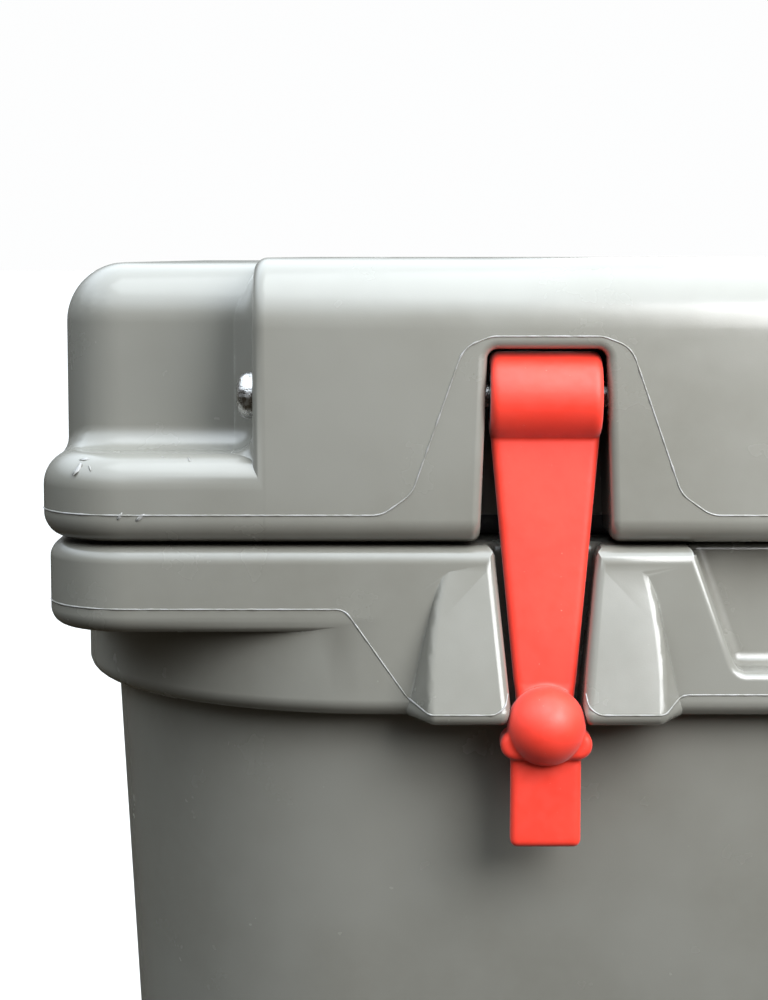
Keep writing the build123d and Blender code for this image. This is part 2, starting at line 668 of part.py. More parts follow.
def finger_scoop():
    """The hollow in the middle of the front rim, for lifting the lid."""
    tool = prism_y(scoop_outline(), LIP_FRONT - BEYOND, LIP_FRONT + SCOOP_DEPTH)
    lower = tool.edges().filter_by(Axis.Y).group_by(Axis.Z)[0]
    tool = fillet(lower, SCOOP_ROUND)
    inner = tool.faces().sort_by(Axis.Y)[-1].edges()
    kept = [e for e in inner if e.position_at(0.5).Z < RIM_Z + ABOVE / 2]
    return fillet(kept, SCOOP_ROUND)


def scoop_flares():
    """The rounded edges of the finger scoop, on the lip's face and on the rim."""
    front = flare(FRONT_VIEW, scoop_outline(), SCOOP_ROUND, SCOOP_EDGE_ROUND)
    top = flare(TOP_VIEW, plan_outline(0, SCOOP_HALF, SCOOP_DEPTH), SCOOP_ROUND, SCOOP_EDGE_ROUND)
    return [front, top]


def hand_pocket():
    """The hollow under the lip at the left end, for carrying the chest."""
    outer = LIP_LENGTH / 2 + BEYOND
    inner = LIP_LENGTH / 2 - POCKET_DEPTH
    tool = Pos(-(outer + inner) / 2, 0, LIP_Z - POCKET_HEIGHT / 2) * Box(
        outer - inner, POCKET_WIDTH, POCKET_HEIGHT
    )
    tool = fillet(tool.edges().filter_by(Axis.X), POCKET_ROUND)
    return fillet(tool.faces().sort_by(Axis.X)[-1].edges(), POCKET_EDGE_ROUND)


def basin():
    """The space inside the chest."""
    rise = 1.0
    length = BASIN_LENGTH + 2 * rise * BASIN_SLOPE
    depth = BASIN_DEPTH + 2 * rise * BASIN_SLOPE
    block = tapered(length, depth, BASIN_CORNER, RIM_Z + rise, FLOOR_Z, BASIN_DRAFT)
    return fillet(low_edges(block), BASIN_FLOOR_ROUND)


def rear_rim_cut():
    """What comes off the rim's rear edge, where the open lid's rear face passes."""
    rear = LIP_DEPTH / 2
    centre_y, centre_z = rear - REAR_RIM_ROUND, RIM_Z - REAR_RIM_ROUND
    corner = prism_x(
        [
            (centre_y, centre_z),
            (centre_y, RIM_Z + BEYOND),
            (rear + BEYOND, RIM_Z + BEYOND),
            (rear + BEYOND, centre_z),
        ],
        -LENGTH,
        LENGTH,
    )
    return corner - rod_x(REAR_RIM_ROUND, -LENGTH, LENGTH, centre_y, centre_z)


def knuckle(x):
    """A hinge post on the rear rim."""
    half = KNUCKLE_WIDTH / 2
    low = RIM_Z - REAR_RIM_ROUND + 1
    web = prism_x(
        [
            (HINGE_Y - KNUCKLE_WEB / 2, low),
            (HINGE_Y - KNUCKLE_WEB / 2, HINGE_Z),
            (HINGE_Y + KNUCKLE_WEB / 2, HINGE_Z),
            (HINGE_Y + KNUCKLE_WEB / 2, low),
        ],
        x - half,
        x + half,
    )
    return rod_x(KNUCKLE_RADIUS, x - half, x + half, HINGE_Y, HINGE_Z) + web


def hinge_bush(x):
    """Flanged sleeve in a knuckle, which the hinge rod turns in."""
    half = KNUCKLE_WIDTH / 2
    flanged = half + BUSH_FLANGE
    sleeve = rod_x(BUSH_RADIUS, x - half, x + half, HINGE_Y, HINGE_Z)
    for low, high in ((x - flanged, x - half), (x + half, x + flanged)):
        sleeve += rod_x(BUSH_RADIUS + 3, low, high, HINGE_Y, HINGE_Z)
    return sleeve - rod_x(PIN_RADIUS + RUNNING, x - flanged, x + flanged, HINGE_Y, HINGE_Z)


DRAIN_Z = FLOOR_Z + DRAIN_ABOVE_FLOOR
DRAIN_FACE_X = wall_half(LIP_LENGTH, DRAIN_Z) - DRAIN_RECESS_DEPTH
DRAIN_NUT_X = basin_half(BASIN_LENGTH, DRAIN_Z) + DRAIN_SPOT
FLANGE_X = DRAIN_FACE_X + DRAIN_SEAL_THICKNESS
CAP_X = FLANGE_X + DRAIN_FLANGE_THICKNESS + PLUG_AIR


def drain_openings():
    """Everything cut from the body for the drain: outer recess, hole and sump."""
    outside = LIP_LENGTH / 2 + BEYOND
    recess = rod_x(DRAIN_RECESS, DRAIN_FACE_X, outside, 0, DRAIN_Z)
    recess = fillet(recess.edges().group_by(Axis.X)[0], SOFT_ROUND)
    hole = rod_x(DRAIN_TUBE, DRAIN_NUT_X - 1, DRAIN_FACE_X + 1, 0, DRAIN_Z)
    sump = rod_x(DRAIN_SUMP, DRAIN_NUT_X - 3 * DRAIN_NUT_THICKNESS, DRAIN_NUT_X, 0, DRAIN_Z)
    return recess + hole + sump


def drain_fitting():
    """Flanged tube through the wall."""
    tube = rod_x(DRAIN_TUBE, DRAIN_NUT_X - DRAIN_NUT_THICKNESS - 2, FLANGE_X, 0, DRAIN_Z)
    outer = FLANGE_X + DRAIN_FLANGE_THICKNESS
    disc = rod_x(DRAIN_FLANGE, FLANGE_X, outer, 0, DRAIN_Z)
    disc = fillet(disc.edges().group_by(Axis.X)[-1], DRAIN_FLANGE_THICKNESS / 3)
    return tube + disc - rod_x(DRAIN_BORE, DRAIN_NUT_X - BEYOND, outer, 0, DRAIN_Z)


def drain_seal():
    ring = rod_x(DRAIN_FLANGE, DRAIN_FACE_X, FLANGE_X, 0, DRAIN_Z)
    return ring - rod_x(DRAIN_TUBE, DRAIN_FACE_X, FLANGE_X, 0, DRAIN_Z)


def drain_nut():
    plane = Plane(
        origin=(DRAIN_NUT_X - DRAIN_NUT_THICKNESS, 0, DRAIN_Z), x_dir=(0, 1, 0), z_dir=(1, 0, 0)
    )
    nut = extrude(plane * RegularPolygon(DRAIN_NUT, 6), DRAIN_NUT_THICKNESS)
    return nut - rod_x(DRAIN_TUBE, DRAIN_NUT_X - BEYOND, DRAIN_NUT_X, 0, DRAIN_Z)


def drain_plug():
    """Push-in plug with a grip bar across its cap and a groove for its O-ring."""
    stem = rod_x(PLUG_STEM, CAP_X - PLUG_STEM_LENGTH, CAP_X, 0, DRAIN_Z)
    stem = chamfer(stem.edges().group_by(Axis.X)[0], SOFT_ROUND / 2)
    cap = rod_x(PLUG_CAP, CAP_X, CAP_X + PLUG_CAP_THICKNESS, 0, DRAIN_Z)
    cap = fillet(cap.edges().group_by(Axis.X)[-1], SOFT_ROUND / 2)
    grip_x = CAP_X + PLUG_CAP_THICKNESS + PLUG_GRIP_HEIGHT / 2
    grip = Pos(grip_x - 0.5, 0, DRAIN_Z) * Box(PLUG_GRIP_HEIGHT + 1, PLUG_GRIP_THICKNESS, 1.7 * PLUG_CAP)
    grip = fillet(grip.edges().group_by(Axis.X)[-1], SOFT_ROUND)
    return stem + cap + grip - o_ring(O_RING_SECTION)


def o_ring(section):
    """The O-ring in the plug's stem."""
    major = DRAIN_BORE - RUNNING - O_RING_SECTION
    plane = Plane(origin=(CAP_X - O_RING_BACK, 0, DRAIN_Z), x_dir=(0, 1, 0), z_dir=(1, 0, 0))
    return plane * Torus(major, section)


def foot_places():
    half_length = wall_half(LIP_LENGTH, BASE_Z) - FOOT_INSET
    half_depth = wall_half(LIP_DEPTH, BASE_Z) - FOOT_INSET
    return {
        "front_left": (-half_length, -half_depth),
        "front_right": (half_length, -half_depth),
        "rear_left": (-half_length, half_depth),
        "rear_right": (half_length, half_depth),
    }


def foot(x, y):
    """Rubber foot let into the base, with a counterbored screw hole."""
    pad = rod_z(FOOT_RADIUS, x, y, 0, BASE_Z + FOOT_SEAT)
    pad = fillet(low_edges(pad), FOOT_ROUND)
    pad -= rod_z(SCREW_HEAD_RADIUS + 0.5, x, y, 0, SCREW_SINK)
    return pad - rod_z(SCREW_RADIUS + RUNNING, x, y, 0, BASE_Z + FOOT_SEAT)


def foot_screw(x, y):
    head_low = SCREW_SINK - SCREW_HEAD_HEIGHT
    head = rod_z(SCREW_HEAD_RADIUS, x, y, head_low, SCREW_SINK)
    head = fillet(low_edges(head), SCREW_HEAD_HEIGHT / 3)
    slot = Pos(x, y, head_low) * (Box(6, 1.2, 2.4) + Box(1.2, 6, 2.4))
    return head + rod_z(SCREW_RADIUS, x, y, SCREW_SINK, SCREW_SINK + SCREW_LENGTH) - slot


def body_foam():
    """The foam core of the body: walls and floor in one piece."""
    top_z = RIM_Z - REAR_RIM_ROUND - 1
    length = 2 * (wall_half(LIP_LENGTH, top_z) - SKIN)
    depth = 2 * (wall_half(LIP_DEPTH, top_z) - SKIN)
    foam = tapered(length, depth, WALL_CORNER - SKIN, top_z, BASE_Z + SKIN, WALL_DRAFT)
    inner_length = 2 * (basin_half(BASIN_LENGTH, top_z) + SKIN)
    inner_depth = 2 * (basin_half(BASIN_DEPTH, top_z) + SKIN)
    corner = BASIN_CORNER + SKIN
    foam -= tapered(inner_length, inner_depth, corner, top_z, FLOOR_Z - SKIN, BASIN_DRAFT)
    for side in (-1, 1):
        inner = LIP_LENGTH / 2 - POCKET_DEPTH - SKIN
        foam -= Pos(side * (inner + BEYOND), 0, LIP_Z - POCKET_HEIGHT / 2) * Box(
            2 * BEYOND, POCKET_WIDTH + 2 * SKIN, POCKET_HEIGHT + 2 * SKIN
        )
    foam -= Pos(DRAIN_NUT_X, 0, DRAIN_Z) * Box(
        2 * BEYOND + 2 * DRAIN_RECESS, 2 * (DRAIN_RECESS + SKIN), 2 * (DRAIN_RECESS + SKIN)
    )
    for x, y in foot_places().values():
        foam -= rod_z(SCREW_BOSS, x, y, BASE_Z, SCREW_SINK + SCREW_LENGTH + SKIN)
    return foam


def body_shell(foam, plug):
    solid = lip() + apron() + wall()
    solid -= rear_rim_cut()
    solid -= basin()
    inner_rim = [e for e in solid.edges() if is_inner_rim(e)]
    solid = fillet(inner_rim, RIM_INNER_ROUND)
    solid -= finger_scoop()
    for cutter in scoop_flares():
        solid -= cutter
    for x in (-LATCH_X, LATCH_X):
        solid -= strap_channel(x)
        for cutter in channel_flares(x):
            solid -= cutter
        for side in (-1, 1):
            solid += keeper(x, side)
        solid -= Pos(x, BALL_Y, BALL_Z) * Sphere(BALL_RADIUS + SEAT_AIR)
        solid += knuckle(x)
        reach = KNUCKLE_WIDTH / 2 + 1
        solid -= rod_x(BUSH_RADIUS, x - reach, x + reach, HINGE_Y, HINGE_Z)
    for pocket in both_sides(hand_pocket()):
        solid -= pocket
    solid -= drain_openings()
    for x, y in foot_places().values():
        solid -= rod_z(FOOT_RADIUS, x, y, 0, BASE_Z + FOOT_SEAT)
        solid -= rod_z(SCREW_RADIUS + RUNNING, x, y, 0, SCREW_SINK + SCREW_LENGTH)
    return solid - foam - plug


def is_inner_rim(edge):
    """The basin's edge at the rim."""
    middle = edge.position_at(0.5)
    gap = outline_gap(middle, BASIN_LENGTH, BASIN_DEPTH, BASIN_CORNER)
    return abs(middle.Z - RIM_Z) < 0.01 and abs(gap) < 0.1


# ================================================================ all pieces
def build():
    nodes = {}
    foam = lid_foam()
    plug = fill_plug(LID_Z - INNER_LID_DEPTH, True)
    groove = gasket_ring(GASKET_WIDTH, LID_Z - 1, LID_Z + GASKET_GROOVE_DEPTH)
    nodes["lid_shell"] = lid_shell(foam, plug, groove)
    nodes["lid_foam"] = foam
    nodes["lid_fill_plug"] = plug
    nodes["lid_gasket"] = gasket()

    foam = body_foam()
    plug = fill_plug(BASE_Z, True)
    nodes["body_shell"] = body_shell(foam, plug)
    nodes["body_foam"] = foam
    nodes["body_fill_plug"] = plug

    pins = zip(("left", "right"), both_sides(latch_pin()), both_sides(hinge_rod()))
    for side, pin, rod in pins:
        nodes[f"latch_pin_{side}"] = pin
        nodes[f"hinge_rod_{side}"] = rod
    for side, x in (("left", -LATCH_X), ("right", LATCH_X)):
        nodes[f"latch_bush_{side}"] = latch_bush(x)
        nodes[f"latch_strap_{side}"] = latch_strap(x)
        nodes[f"latch_end_{side}"] = latch_end(x)
        nodes[f"hinge_bush_{side}"] = hinge_bush(x)

    nodes["drain_fitting"] = drain_fitting()
    nodes["drain_seal"] = drain_seal()
    nodes["drain_nut"] = drain_nut()
    nodes["drain_plug"] = drain_plug()
    nodes["plug_o_ring"] = o_ring(O_RING_SECTION)

    screws = []
    for place, (x, y) in foot_places().items():
        nodes[f"foot_{place}"] = foot(x, y)
        screws.append(foot_screw(x, y))
    nodes["foot_screws"] = Compound(children=screws)
    return nodes


def main():
    os.makedirs("parts", exist_ok=True)
    for name, shape in build().items():
        placed = shape.moved(Location((0, ORIGIN_SHIFT, 0)))
        placed.label = name
        export_step(placed, f"parts/{name}.step")


if __name__ == "__main__":
    main()
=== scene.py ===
# %% [markdown]
# # A hard, rotomoulded chest with an attached lid
# This lesson dresses a finished mechanical model for its portrait. The model's pieces arrive as a
# fixed frame: they are measured but never moved. The shells get a clean skin and moulding marks,
# the rubber latches are grown into one soft moulding each, and every piece gets its own finish.

# %% The frame and the tools
import json
import math

import bmesh
import bpy
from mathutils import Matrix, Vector
from mathutils.bvhtree import BVHTree


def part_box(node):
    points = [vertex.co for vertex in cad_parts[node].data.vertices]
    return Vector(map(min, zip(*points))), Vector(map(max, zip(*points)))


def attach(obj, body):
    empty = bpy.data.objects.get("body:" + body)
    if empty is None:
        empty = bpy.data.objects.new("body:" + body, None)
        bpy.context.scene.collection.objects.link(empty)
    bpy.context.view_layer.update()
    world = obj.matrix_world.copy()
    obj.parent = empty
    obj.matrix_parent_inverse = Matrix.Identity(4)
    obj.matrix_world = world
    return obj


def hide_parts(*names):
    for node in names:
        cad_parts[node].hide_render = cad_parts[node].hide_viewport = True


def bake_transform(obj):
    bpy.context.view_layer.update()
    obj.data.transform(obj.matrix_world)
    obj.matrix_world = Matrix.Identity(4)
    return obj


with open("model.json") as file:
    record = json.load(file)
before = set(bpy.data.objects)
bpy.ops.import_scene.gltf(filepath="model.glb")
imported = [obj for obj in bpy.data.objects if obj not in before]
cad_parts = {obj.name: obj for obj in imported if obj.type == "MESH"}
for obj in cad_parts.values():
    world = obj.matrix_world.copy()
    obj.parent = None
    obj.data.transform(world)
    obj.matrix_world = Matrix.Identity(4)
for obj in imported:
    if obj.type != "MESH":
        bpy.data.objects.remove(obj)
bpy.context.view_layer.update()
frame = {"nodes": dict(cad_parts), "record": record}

MM = 0.001
scene = bpy.context.scene
print("nodes:", len(frame["nodes"]))

# %% [markdown]
# ## Landmarks
# Most places in this file come from the boxes of the CAD pieces: the front of the lid, the latch
# pin and the rim are what the rest uses. The few sizes that a box can't tell, such as how far a
# corner recess reaches, are stated where they are first needed.

# %% Landmarks
lid_low, lid_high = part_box("lid_shell")
strap_low, strap_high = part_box("latch_strap_left")
end_low, end_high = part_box("latch_end_left")

LID_FRONT = lid_low.y
LID_REAR = lid_high.y
HALF_LENGTH = lid_high.x
HALF_DEPTH = (LID_REAR - LID_FRONT) / 2
DEPTH_MIDDLE = (LID_FRONT + LID_REAR) / 2
LATCH_REACH = 85 * MM  # from the rim down to the end of the pull tab
JOINT_GAP = 1 * MM  # between the rim and the shut lid
RIM = end_low.z + LATCH_REACH
LID_BOTTOM = RIM + JOINT_GAP
LATCH_X = (strap_low.x + strap_high.x) / -2
SIDES = {"left": -1, "right": 1}

# %% [markdown]
# ## The camera
# The chest is looked at from close by, square on to its front and from the height of the lid's
# top, so the camera stands 65 cm away with a portrait lens. A camera's lens is worked out from the
# height of the field that it should take in: focal length = sensor height x distance / field
# height.

# %% Camera
CAMERA_DISTANCE = 650 * MM
FIELD_HEIGHT = 280 * MM
SENSOR = 36.0
AIM_ASIDE = 45.8 * MM  # from the left latch towards the left end
AIM_ABOVE = 13.6 * MM  # above the rim
AIM = Vector((-LATCH_X - AIM_ASIDE, LID_FRONT, RIM + AIM_ABOVE))
CAMERA_PITCH = math.radians(6.0)


def add_camera():
    """A camera in front of AIM, tilted down by its pitch."""
    data = bpy.data.cameras.new("portrait_camera")
    data.sensor_fit = "VERTICAL"
    data.sensor_height = SENSOR
    data.lens = SENSOR * CAMERA_DISTANCE / FIELD_HEIGHT
    data.clip_start = 0.01
    camera = bpy.data.objects.new("portrait_camera", data)
    scene.collection.objects.link(camera)
    back = Vector((0, -math.cos(CAMERA_PITCH), math.sin(CAMERA_PITCH)))
    camera.location = AIM + back * (CAMERA_DISTANCE / math.cos(CAMERA_PITCH))
    camera.rotation_euler = (-back).to_track_quat("-Z", "Y").to_euler()
    scene.camera = camera
    return camera


camera = add_camera()
print(f"lens {camera.data.lens:.1f} mm at {tuple(round(v, 3) for v in camera.location)}")

# %% [markdown]
# ## Finishes
# A finish is a small graph of nodes. Each one starts from Object coordinates, so that a pattern
# has its real size on the piece, and changes three things: the colour a little, the roughness a
# little, and the surface itself through bump. Constants stay on the shader's own sockets.

# %% A workbench for finishes
class Finish:
    """A material with a Principled shader and short calls for the nodes that feed it."""

    def __init__(self, name, **constants):
        """constants are the shader's own sockets, with _ for a space."""
        self.material = bpy.data.materials.new(name)
        self.material.use_nodes = True
        self.nodes = self.material.node_tree.nodes
        self.links = self.material.node_tree.links
        self.shader = self.nodes["Principled BSDF"]
        for socket, value in constants.items():
            self.shader.inputs[socket.replace("_", " ")].default_value = value
        self.place = self.nodes.new("ShaderNodeTexCoord").outputs["Object"]

    def add(self, kind, output, settings=None, **inputs):
        """A node with its inputs linked or set. An input's name may be given as a number: in_0."""
        node = self.nodes.new("ShaderNode" + kind)
        for attribute, value in (settings or {}).items():
            setattr(node, attribute, value)
        for name, value in inputs.items():
            key = int(name[3:]) if name.startswith("in_") else name.replace("_", " ")
            if isinstance(value, bpy.types.NodeSocket):
                self.links.new(value, node.inputs[key])
            else:
                node.inputs[key].default_value = value
        return node.outputs[output]

    def stretched(self, scale):
        """The place on the piece, with a pattern squeezed along X, Y and Z."""
        return self.add("Mapping", "Vector", Vector=self.place, Scale=scale)

    def noise(self, scale, detail=2.0, roughness=0.5, place=None):
        """A cloudy pattern of 0 to 1. scale is in features per metre."""
        names = {"Scale": scale, "Detail": detail, "Roughness": roughness}
        return self.add("TexNoise", "Fac", Vector=place or self.place, **names)

    def step(self, value, low, high, to_low=0.0, to_high=1.0):
        """value from low to high becomes to_low to to_high, smoothly."""
        settings = {"interpolation_type": "SMOOTHSTEP"}
        names = {"From_Min": low, "From_Max": high, "To_Min": to_low, "To_Max": to_high}
        return self.add("MapRange", "Result", settings, Value=value, **names)

    def math(self, operation, a, b):
        """a and b joined by an operation such as ADD or MULTIPLY."""
        return self.add("Math", "Value", {"operation": operation}, in_0=a, in_1=b)

    def mix(self, share, a, b):
        """Colour b over colour a, by share. The node's colours are at 6 and 7, their result at 2."""
        return self.add("Mix", 2, {"data_type": "RGBA"}, in_0=share, in_6=a, in_7=b)

    def bump(self, height, distance, under=None):
        """A surface that rises by distance where height is 1, laid over another one's bumps."""
        names = {"Height": height, "Distance": distance}
        if under is not None:
            names["Normal"] = under
        return self.add("Bump", "Normal", **names)

    def edges(self, radius):
        """1 on outer edges and 0 on flat faces: how far a rounded normal turns away."""
        rounded = self.add("Bevel", "Normal", {"samples": 4}, Radius=radius)
        true = self.add("NewGeometry", "Normal")
        dot = {"operation": "DOT_PRODUCT"}
        along = self.add("VectorMath", "Value", dot, in_0=rounded, in_1=true)
        return self.step(along, 0.998, 0.9)

    def hollows(self, distance):
        """1 deep in a gap and 0 in the open: the mask for painted shade."""
        open_air = self.add("AmbientOcclusion", "AO", {"samples": 6}, Distance=distance)
        return self.step(open_air, 0.75, 0.1)

    def set(self, socket, value):
        """Feeds one of the shader's sockets."""
        self.links.new(value, self.shader.inputs[socket])

    def done(self):
        """Prints what was made, and gives the material."""
        print("finish:", self.material.name, len(self.nodes), "nodes")
        return self.material


def grey(level, warmth=0.0):
    """A linear colour from one level, warmer in red and cooler in blue by warmth."""
    return (level * (1 + warmth), level, level * (1 - warmth), 1.0)


# %% [markdown]
# ### Rotomoulded polyethylene
# The shells are cooked inside a steel mould from powder. The skin is satin, with a very fine grain
# from the mould, a soft orange peel that bends reflections, pale specks and rubbed edges. Painted
# shade darkens the hollows. A flat colour with a noise on it would look painted, so the colour is
# built up in layers, from the resin outwards.

# %% Shell plastic
SHELL_BASE = (0.162, 0.156, 0.134, 1.0)
SHELL_PALE = (0.188, 0.183, 0.161, 1.0)
SHELL_RUBBED = (0.40, 0.40, 0.375, 1.0)
SHELL_HOLLOW_SHADE = (0.020, 0.016, 0.011, 1.0)
CLOUDS, MOTTLE, SPECKS, WEAR = 14.0, 240.0, 1500.0, 90.0  # features per metre
GLOSS_PATCHES, ORANGE_PEEL, GRAIN = 45.0, 110.0, 2600.0
STREAKS = (900.0, 900.0, 40.0)  # upright: long along Z
WORN_EDGE = 1.2 * MM
HOLLOW_SHADE_REACH = 9 * MM
PEEL_HEIGHT = 0.05 * MM
GRAIN_HEIGHT = 0.012 * MM
STREAK_HEIGHT = 0.004 * MM


def shell_plastic():
    """Clouds, mottle and specks, then rubbed edges, then painted shade in the hollows; gloss and
    bump in the same order.
    """
    finish = Finish("moulded_polyethylene", IOR=1.62)
    cloud = finish.noise(CLOUDS, 3.0, 0.6)
    colour = finish.mix(finish.step(cloud, 0.3, 0.7), SHELL_BASE, SHELL_PALE)
    mottle = finish.noise(MOTTLE, 2.0)
    colour = finish.mix(finish.step(mottle, 0.3, 0.75, 0.0, 0.18), colour, SHELL_PALE)
    speck = finish.step(finish.noise(SPECKS, 1.0), 0.76, 0.82, 0.0, 0.1)
    colour = finish.mix(speck, colour, SHELL_RUBBED)
    rubbed = finish.edges(WORN_EDGE)
    patches = finish.step(finish.noise(WEAR, 4.0, 0.7), 0.42, 0.7, 0.1, 0.55)
    patchy = finish.math("MULTIPLY", rubbed, patches)
    colour = finish.mix(patchy, colour, SHELL_RUBBED)
    # Painted shade: an ambient occlusion mask turns the colour near black deep in gaps.
    hollow_shade = finish.math("MULTIPLY", finish.hollows(HOLLOW_SHADE_REACH), 0.85)
    finish.set("Base Color", finish.mix(hollow_shade, colour, SHELL_HOLLOW_SHADE))
    gloss = finish.step(finish.noise(GLOSS_PATCHES, 4.0, 0.6), 0.3, 0.7, 0.19, 0.28)
    finish.set("Roughness", finish.math("ADD", gloss, finish.math("MULTIPLY", patchy, 0.12)))
    peel = finish.bump(finish.noise(ORANGE_PEEL, 1.0), PEEL_HEIGHT)
    fine = finish.bump(finish.noise(GRAIN, 2.0), GRAIN_HEIGHT, under=peel)
    streaks = finish.step(finish.noise(1.0, 3.0, 0.6, finish.stretched(STREAKS)), 0.68, 0.78)
    finish.set("Normal", finish.bump(streaks, STREAK_HEIGHT, under=fine))
    return finish.done()


shell_finish = shell_plastic()

# %% [markdown]
# ### Latch rubber
# The latches are injection-moulded rubber in coral red. A high roughness alone would look like
# matt paint. Rubber is also a little brighter where light grazes it, which the sheen gives, and
# handling leaves paler, dustier patches.

# %% Latch rubber
RUBBER_BASE = (0.69, 0.034, 0.017, 1.0)
RUBBER_PALE = (0.73, 0.042, 0.022, 1.0)
RUBBER_DUST = (0.80, 0.30, 0.24, 1.0)


def latch_rubber():
    """Clouded coral with a few dusty specks and barely rubbed edges."""
    finish = Finish("coral_rubber", Sheen_Weight=0.15, Sheen_Roughness=0.4, IOR=1.48)
    cloud = finish.noise(60.0, 3.0, 0.6)
    colour = finish.mix(finish.step(cloud, 0.3, 0.7), RUBBER_BASE, RUBBER_PALE)
    specks = finish.step(finish.noise(1300.0, 1.0), 0.77, 0.83, 0.0, 0.5)
    colour = finish.mix(specks, colour, RUBBER_DUST)
    handled = finish.math("MULTIPLY", finish.edges(1.0 * MM), 0.10)
    finish.set("Base Color", finish.mix(handled, colour, RUBBER_DUST))
    finish.set("Roughness", finish.step(finish.noise(300.0, 3.0), 0.3, 0.7, 0.46, 0.6))
    peel = finish.bump(finish.noise(420.0, 2.0), 0.03 * MM)
    finish.set("Normal", finish.bump(finish.noise(3800.0, 2.0), 0.015 * MM, under=peel))
    return finish.done()


rubber_finish = latch_rubber()

# %% [markdown]
# ## The two shells
# A CAD mesh comes with one set of normals for each face, and two neighbouring faces can disagree a
# little along their edge. A copy with its doubles merged has one normal at each corner, and the
# Weighted Normal modifier lets the large flat faces win, as they do on a real casting.

# %% A clean skin from a CAD node
SHARP = math.radians(32)
OVERLAP = 1.5 * MM
SAME_PLACE = 0.002 * MM
NO_LENGTH = 0.001 * MM


def merged_copy(node_names, name, overlap_at=None):
    """One mesh object from CAD nodes, with its doubles merged, smooth faces and sharp edges
    marked. Where two nodes meet face to face at a height, the upper one is let into the lower."""
    bm = bmesh.new()
    for node in node_names:
        bm.from_mesh(frame["nodes"][node].data)
        if overlap_at and node == node_names[0]:
            for vert in bm.verts:
                vert.co.z -= OVERLAP if vert.co.z < overlap_at + 0.1 * OVERLAP else 0.0
    bmesh.ops.remove_doubles(bm, verts=bm.verts, dist=SAME_PLACE)
    bmesh.ops.dissolve_degenerate(bm, edges=bm.edges, dist=NO_LENGTH)
    for face in bm.faces:
        face.smooth = True
    for edge in bm.edges:
        edge.smooth = len(edge.link_faces) == 2 and edge.calc_face_angle() < SHARP
    return mesh_object(bm, name)


def mesh_object(bm, name):
    """A new object whose place is in its mesh. It uses the bmesh up."""
    mesh = bpy.data.meshes.new(name)
    bm.to_mesh(mesh)
    bm.free()
    piece = bpy.data.objects.new(name, mesh)
    scene.collection.objects.link(piece)
    return piece


def give(piece, material, body=None):
    """Gives a piece its finish and, where a body is named, the body that it rides on."""
    piece.data.materials.clear()
    piece.data.materials.append(material)
    if body:
        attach(piece, body)
    return piece


def shell_skin(node, name, body):
    """The skin that stands for a shell's CAD node."""
    skin = merged_copy([node], name)
    weighted = skin.modifiers.new("flat_faces_lead", "WEIGHTED_NORMAL")
    weighted.mode = "FACE_AREA_WITH_ANGLE"
    weighted.keep_sharp = True
    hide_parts(node)
    return give(skin, shell_finish, body)


lid_skin = shell_skin("lid_shell", "lid_skin", "lid")
body_skin = shell_skin("body_shell", "body_skin", "root")
for skin in (lid_skin, body_skin):
    print(skin.name, len(skin.data.vertices), "vertices")

# %% [markdown]
# ## The latches
# On the real chest a latch is one moulding: a barrel round the pin, a strap that narrows
# downwards, and a T-shaped end with a ball and a pull tab. The CAD has it in two solids, so that
# the strap can stretch. A voxel remesh fuses copies of the two into one skin, and smoothing it
# softens the creases, as rubber flows in a mould.

# %% Latches
VOXEL = 0.45 * MM
SOFTENING = 6


def rubber_latch(side):
    """One latch in one skin, which stands for its strap and its T-end."""
    names = [f"latch_strap_{side}", f"latch_end_{side}"]
    latch = merged_copy(names, f"rubber_latch_{side}", overlap_at=end_high.z)
    fuse = latch.modifiers.new("fuse", "REMESH")
    fuse.mode = "VOXEL"
    fuse.voxel_size = VOXEL
    soften = latch.modifiers.new("soften", "SMOOTH")
    soften.iterations = SOFTENING
    soften.factor = 0.5
    depsgraph = bpy.context.evaluated_depsgraph_get()
    grown = bpy.data.meshes.new_from_object(latch.evaluated_get(depsgraph))
    latch.modifiers.clear()
    latch.data = grown
    for face in grown.polygons:
        face.use_smooth = True
    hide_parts(*names)
    give(latch, rubber_finish)
    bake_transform(latch)
    return latch


latches = {side: rubber_latch(side) for side in SIDES}
print("latch faces:", {side: len(piece.data.polygons) for side, piece in latches.items()})

# %% [markdown]
# ## Moulding flash
# Where two halves of a mould meet, a hair-thin raised line stays on the plastic. On the lid it
# runs round the flange and climbs over each latch notch; on the body it follows the lip and steps
# down to the keepers. It could be bump, but a raised line catches light along its edge, so it is a
# real bead: a route is drawn in the front view, dropped onto the skin with rays, and swept as a
# thin tube.

# %% Routes with rounded corners
BEAD_RADIUS = 0.26 * MM
BEAD_STEP = 0.6 * MM
RING_STEP = 2 * BEAD_STEP
BEAD_ARC_STEPS = 10
ARC_SHARE = 0.48  # of the shorter run beside a corner, at most
RAY_START = 60 * MM
FEWEST_POINTS = 4  # in a run that is kept


def rounded(corners, radius):
    """The points of a line through corners, with an arc of a radius at each inner corner."""
    points = [Vector(corners[0])]
    for before, corner, after in zip(corners, corners[1:], corners[2:]):
        middle = Vector(corner)
        into, out = (Vector(before) - middle), (Vector(after) - middle)
        reach = min(into.length, out.length) * ARC_SHARE
        into.normalize()
        out.normalize()
        half = into.angle(out) / 2
        tangent = min(radius / math.tan(half), reach)
        start, end = middle + into * tangent, middle + out * tangent
        for step in range(BEAD_ARC_STEPS + 1):
            share = step / BEAD_ARC_STEPS
            points.append(start.lerp(middle, share).lerp(middle.lerp(end, share), share))
    return points + [Vector(corners[-1])]


def walked(points, step=BEAD_STEP):
    """The same line with points at most a step apart."""
    line = [points[0]]
    for start, end in zip(points, points[1:]):
        count = max(1, math.ceil((end - start).length / step))
        line += [start.lerp(end, n / count) for n in range(1, count + 1)]
    return line


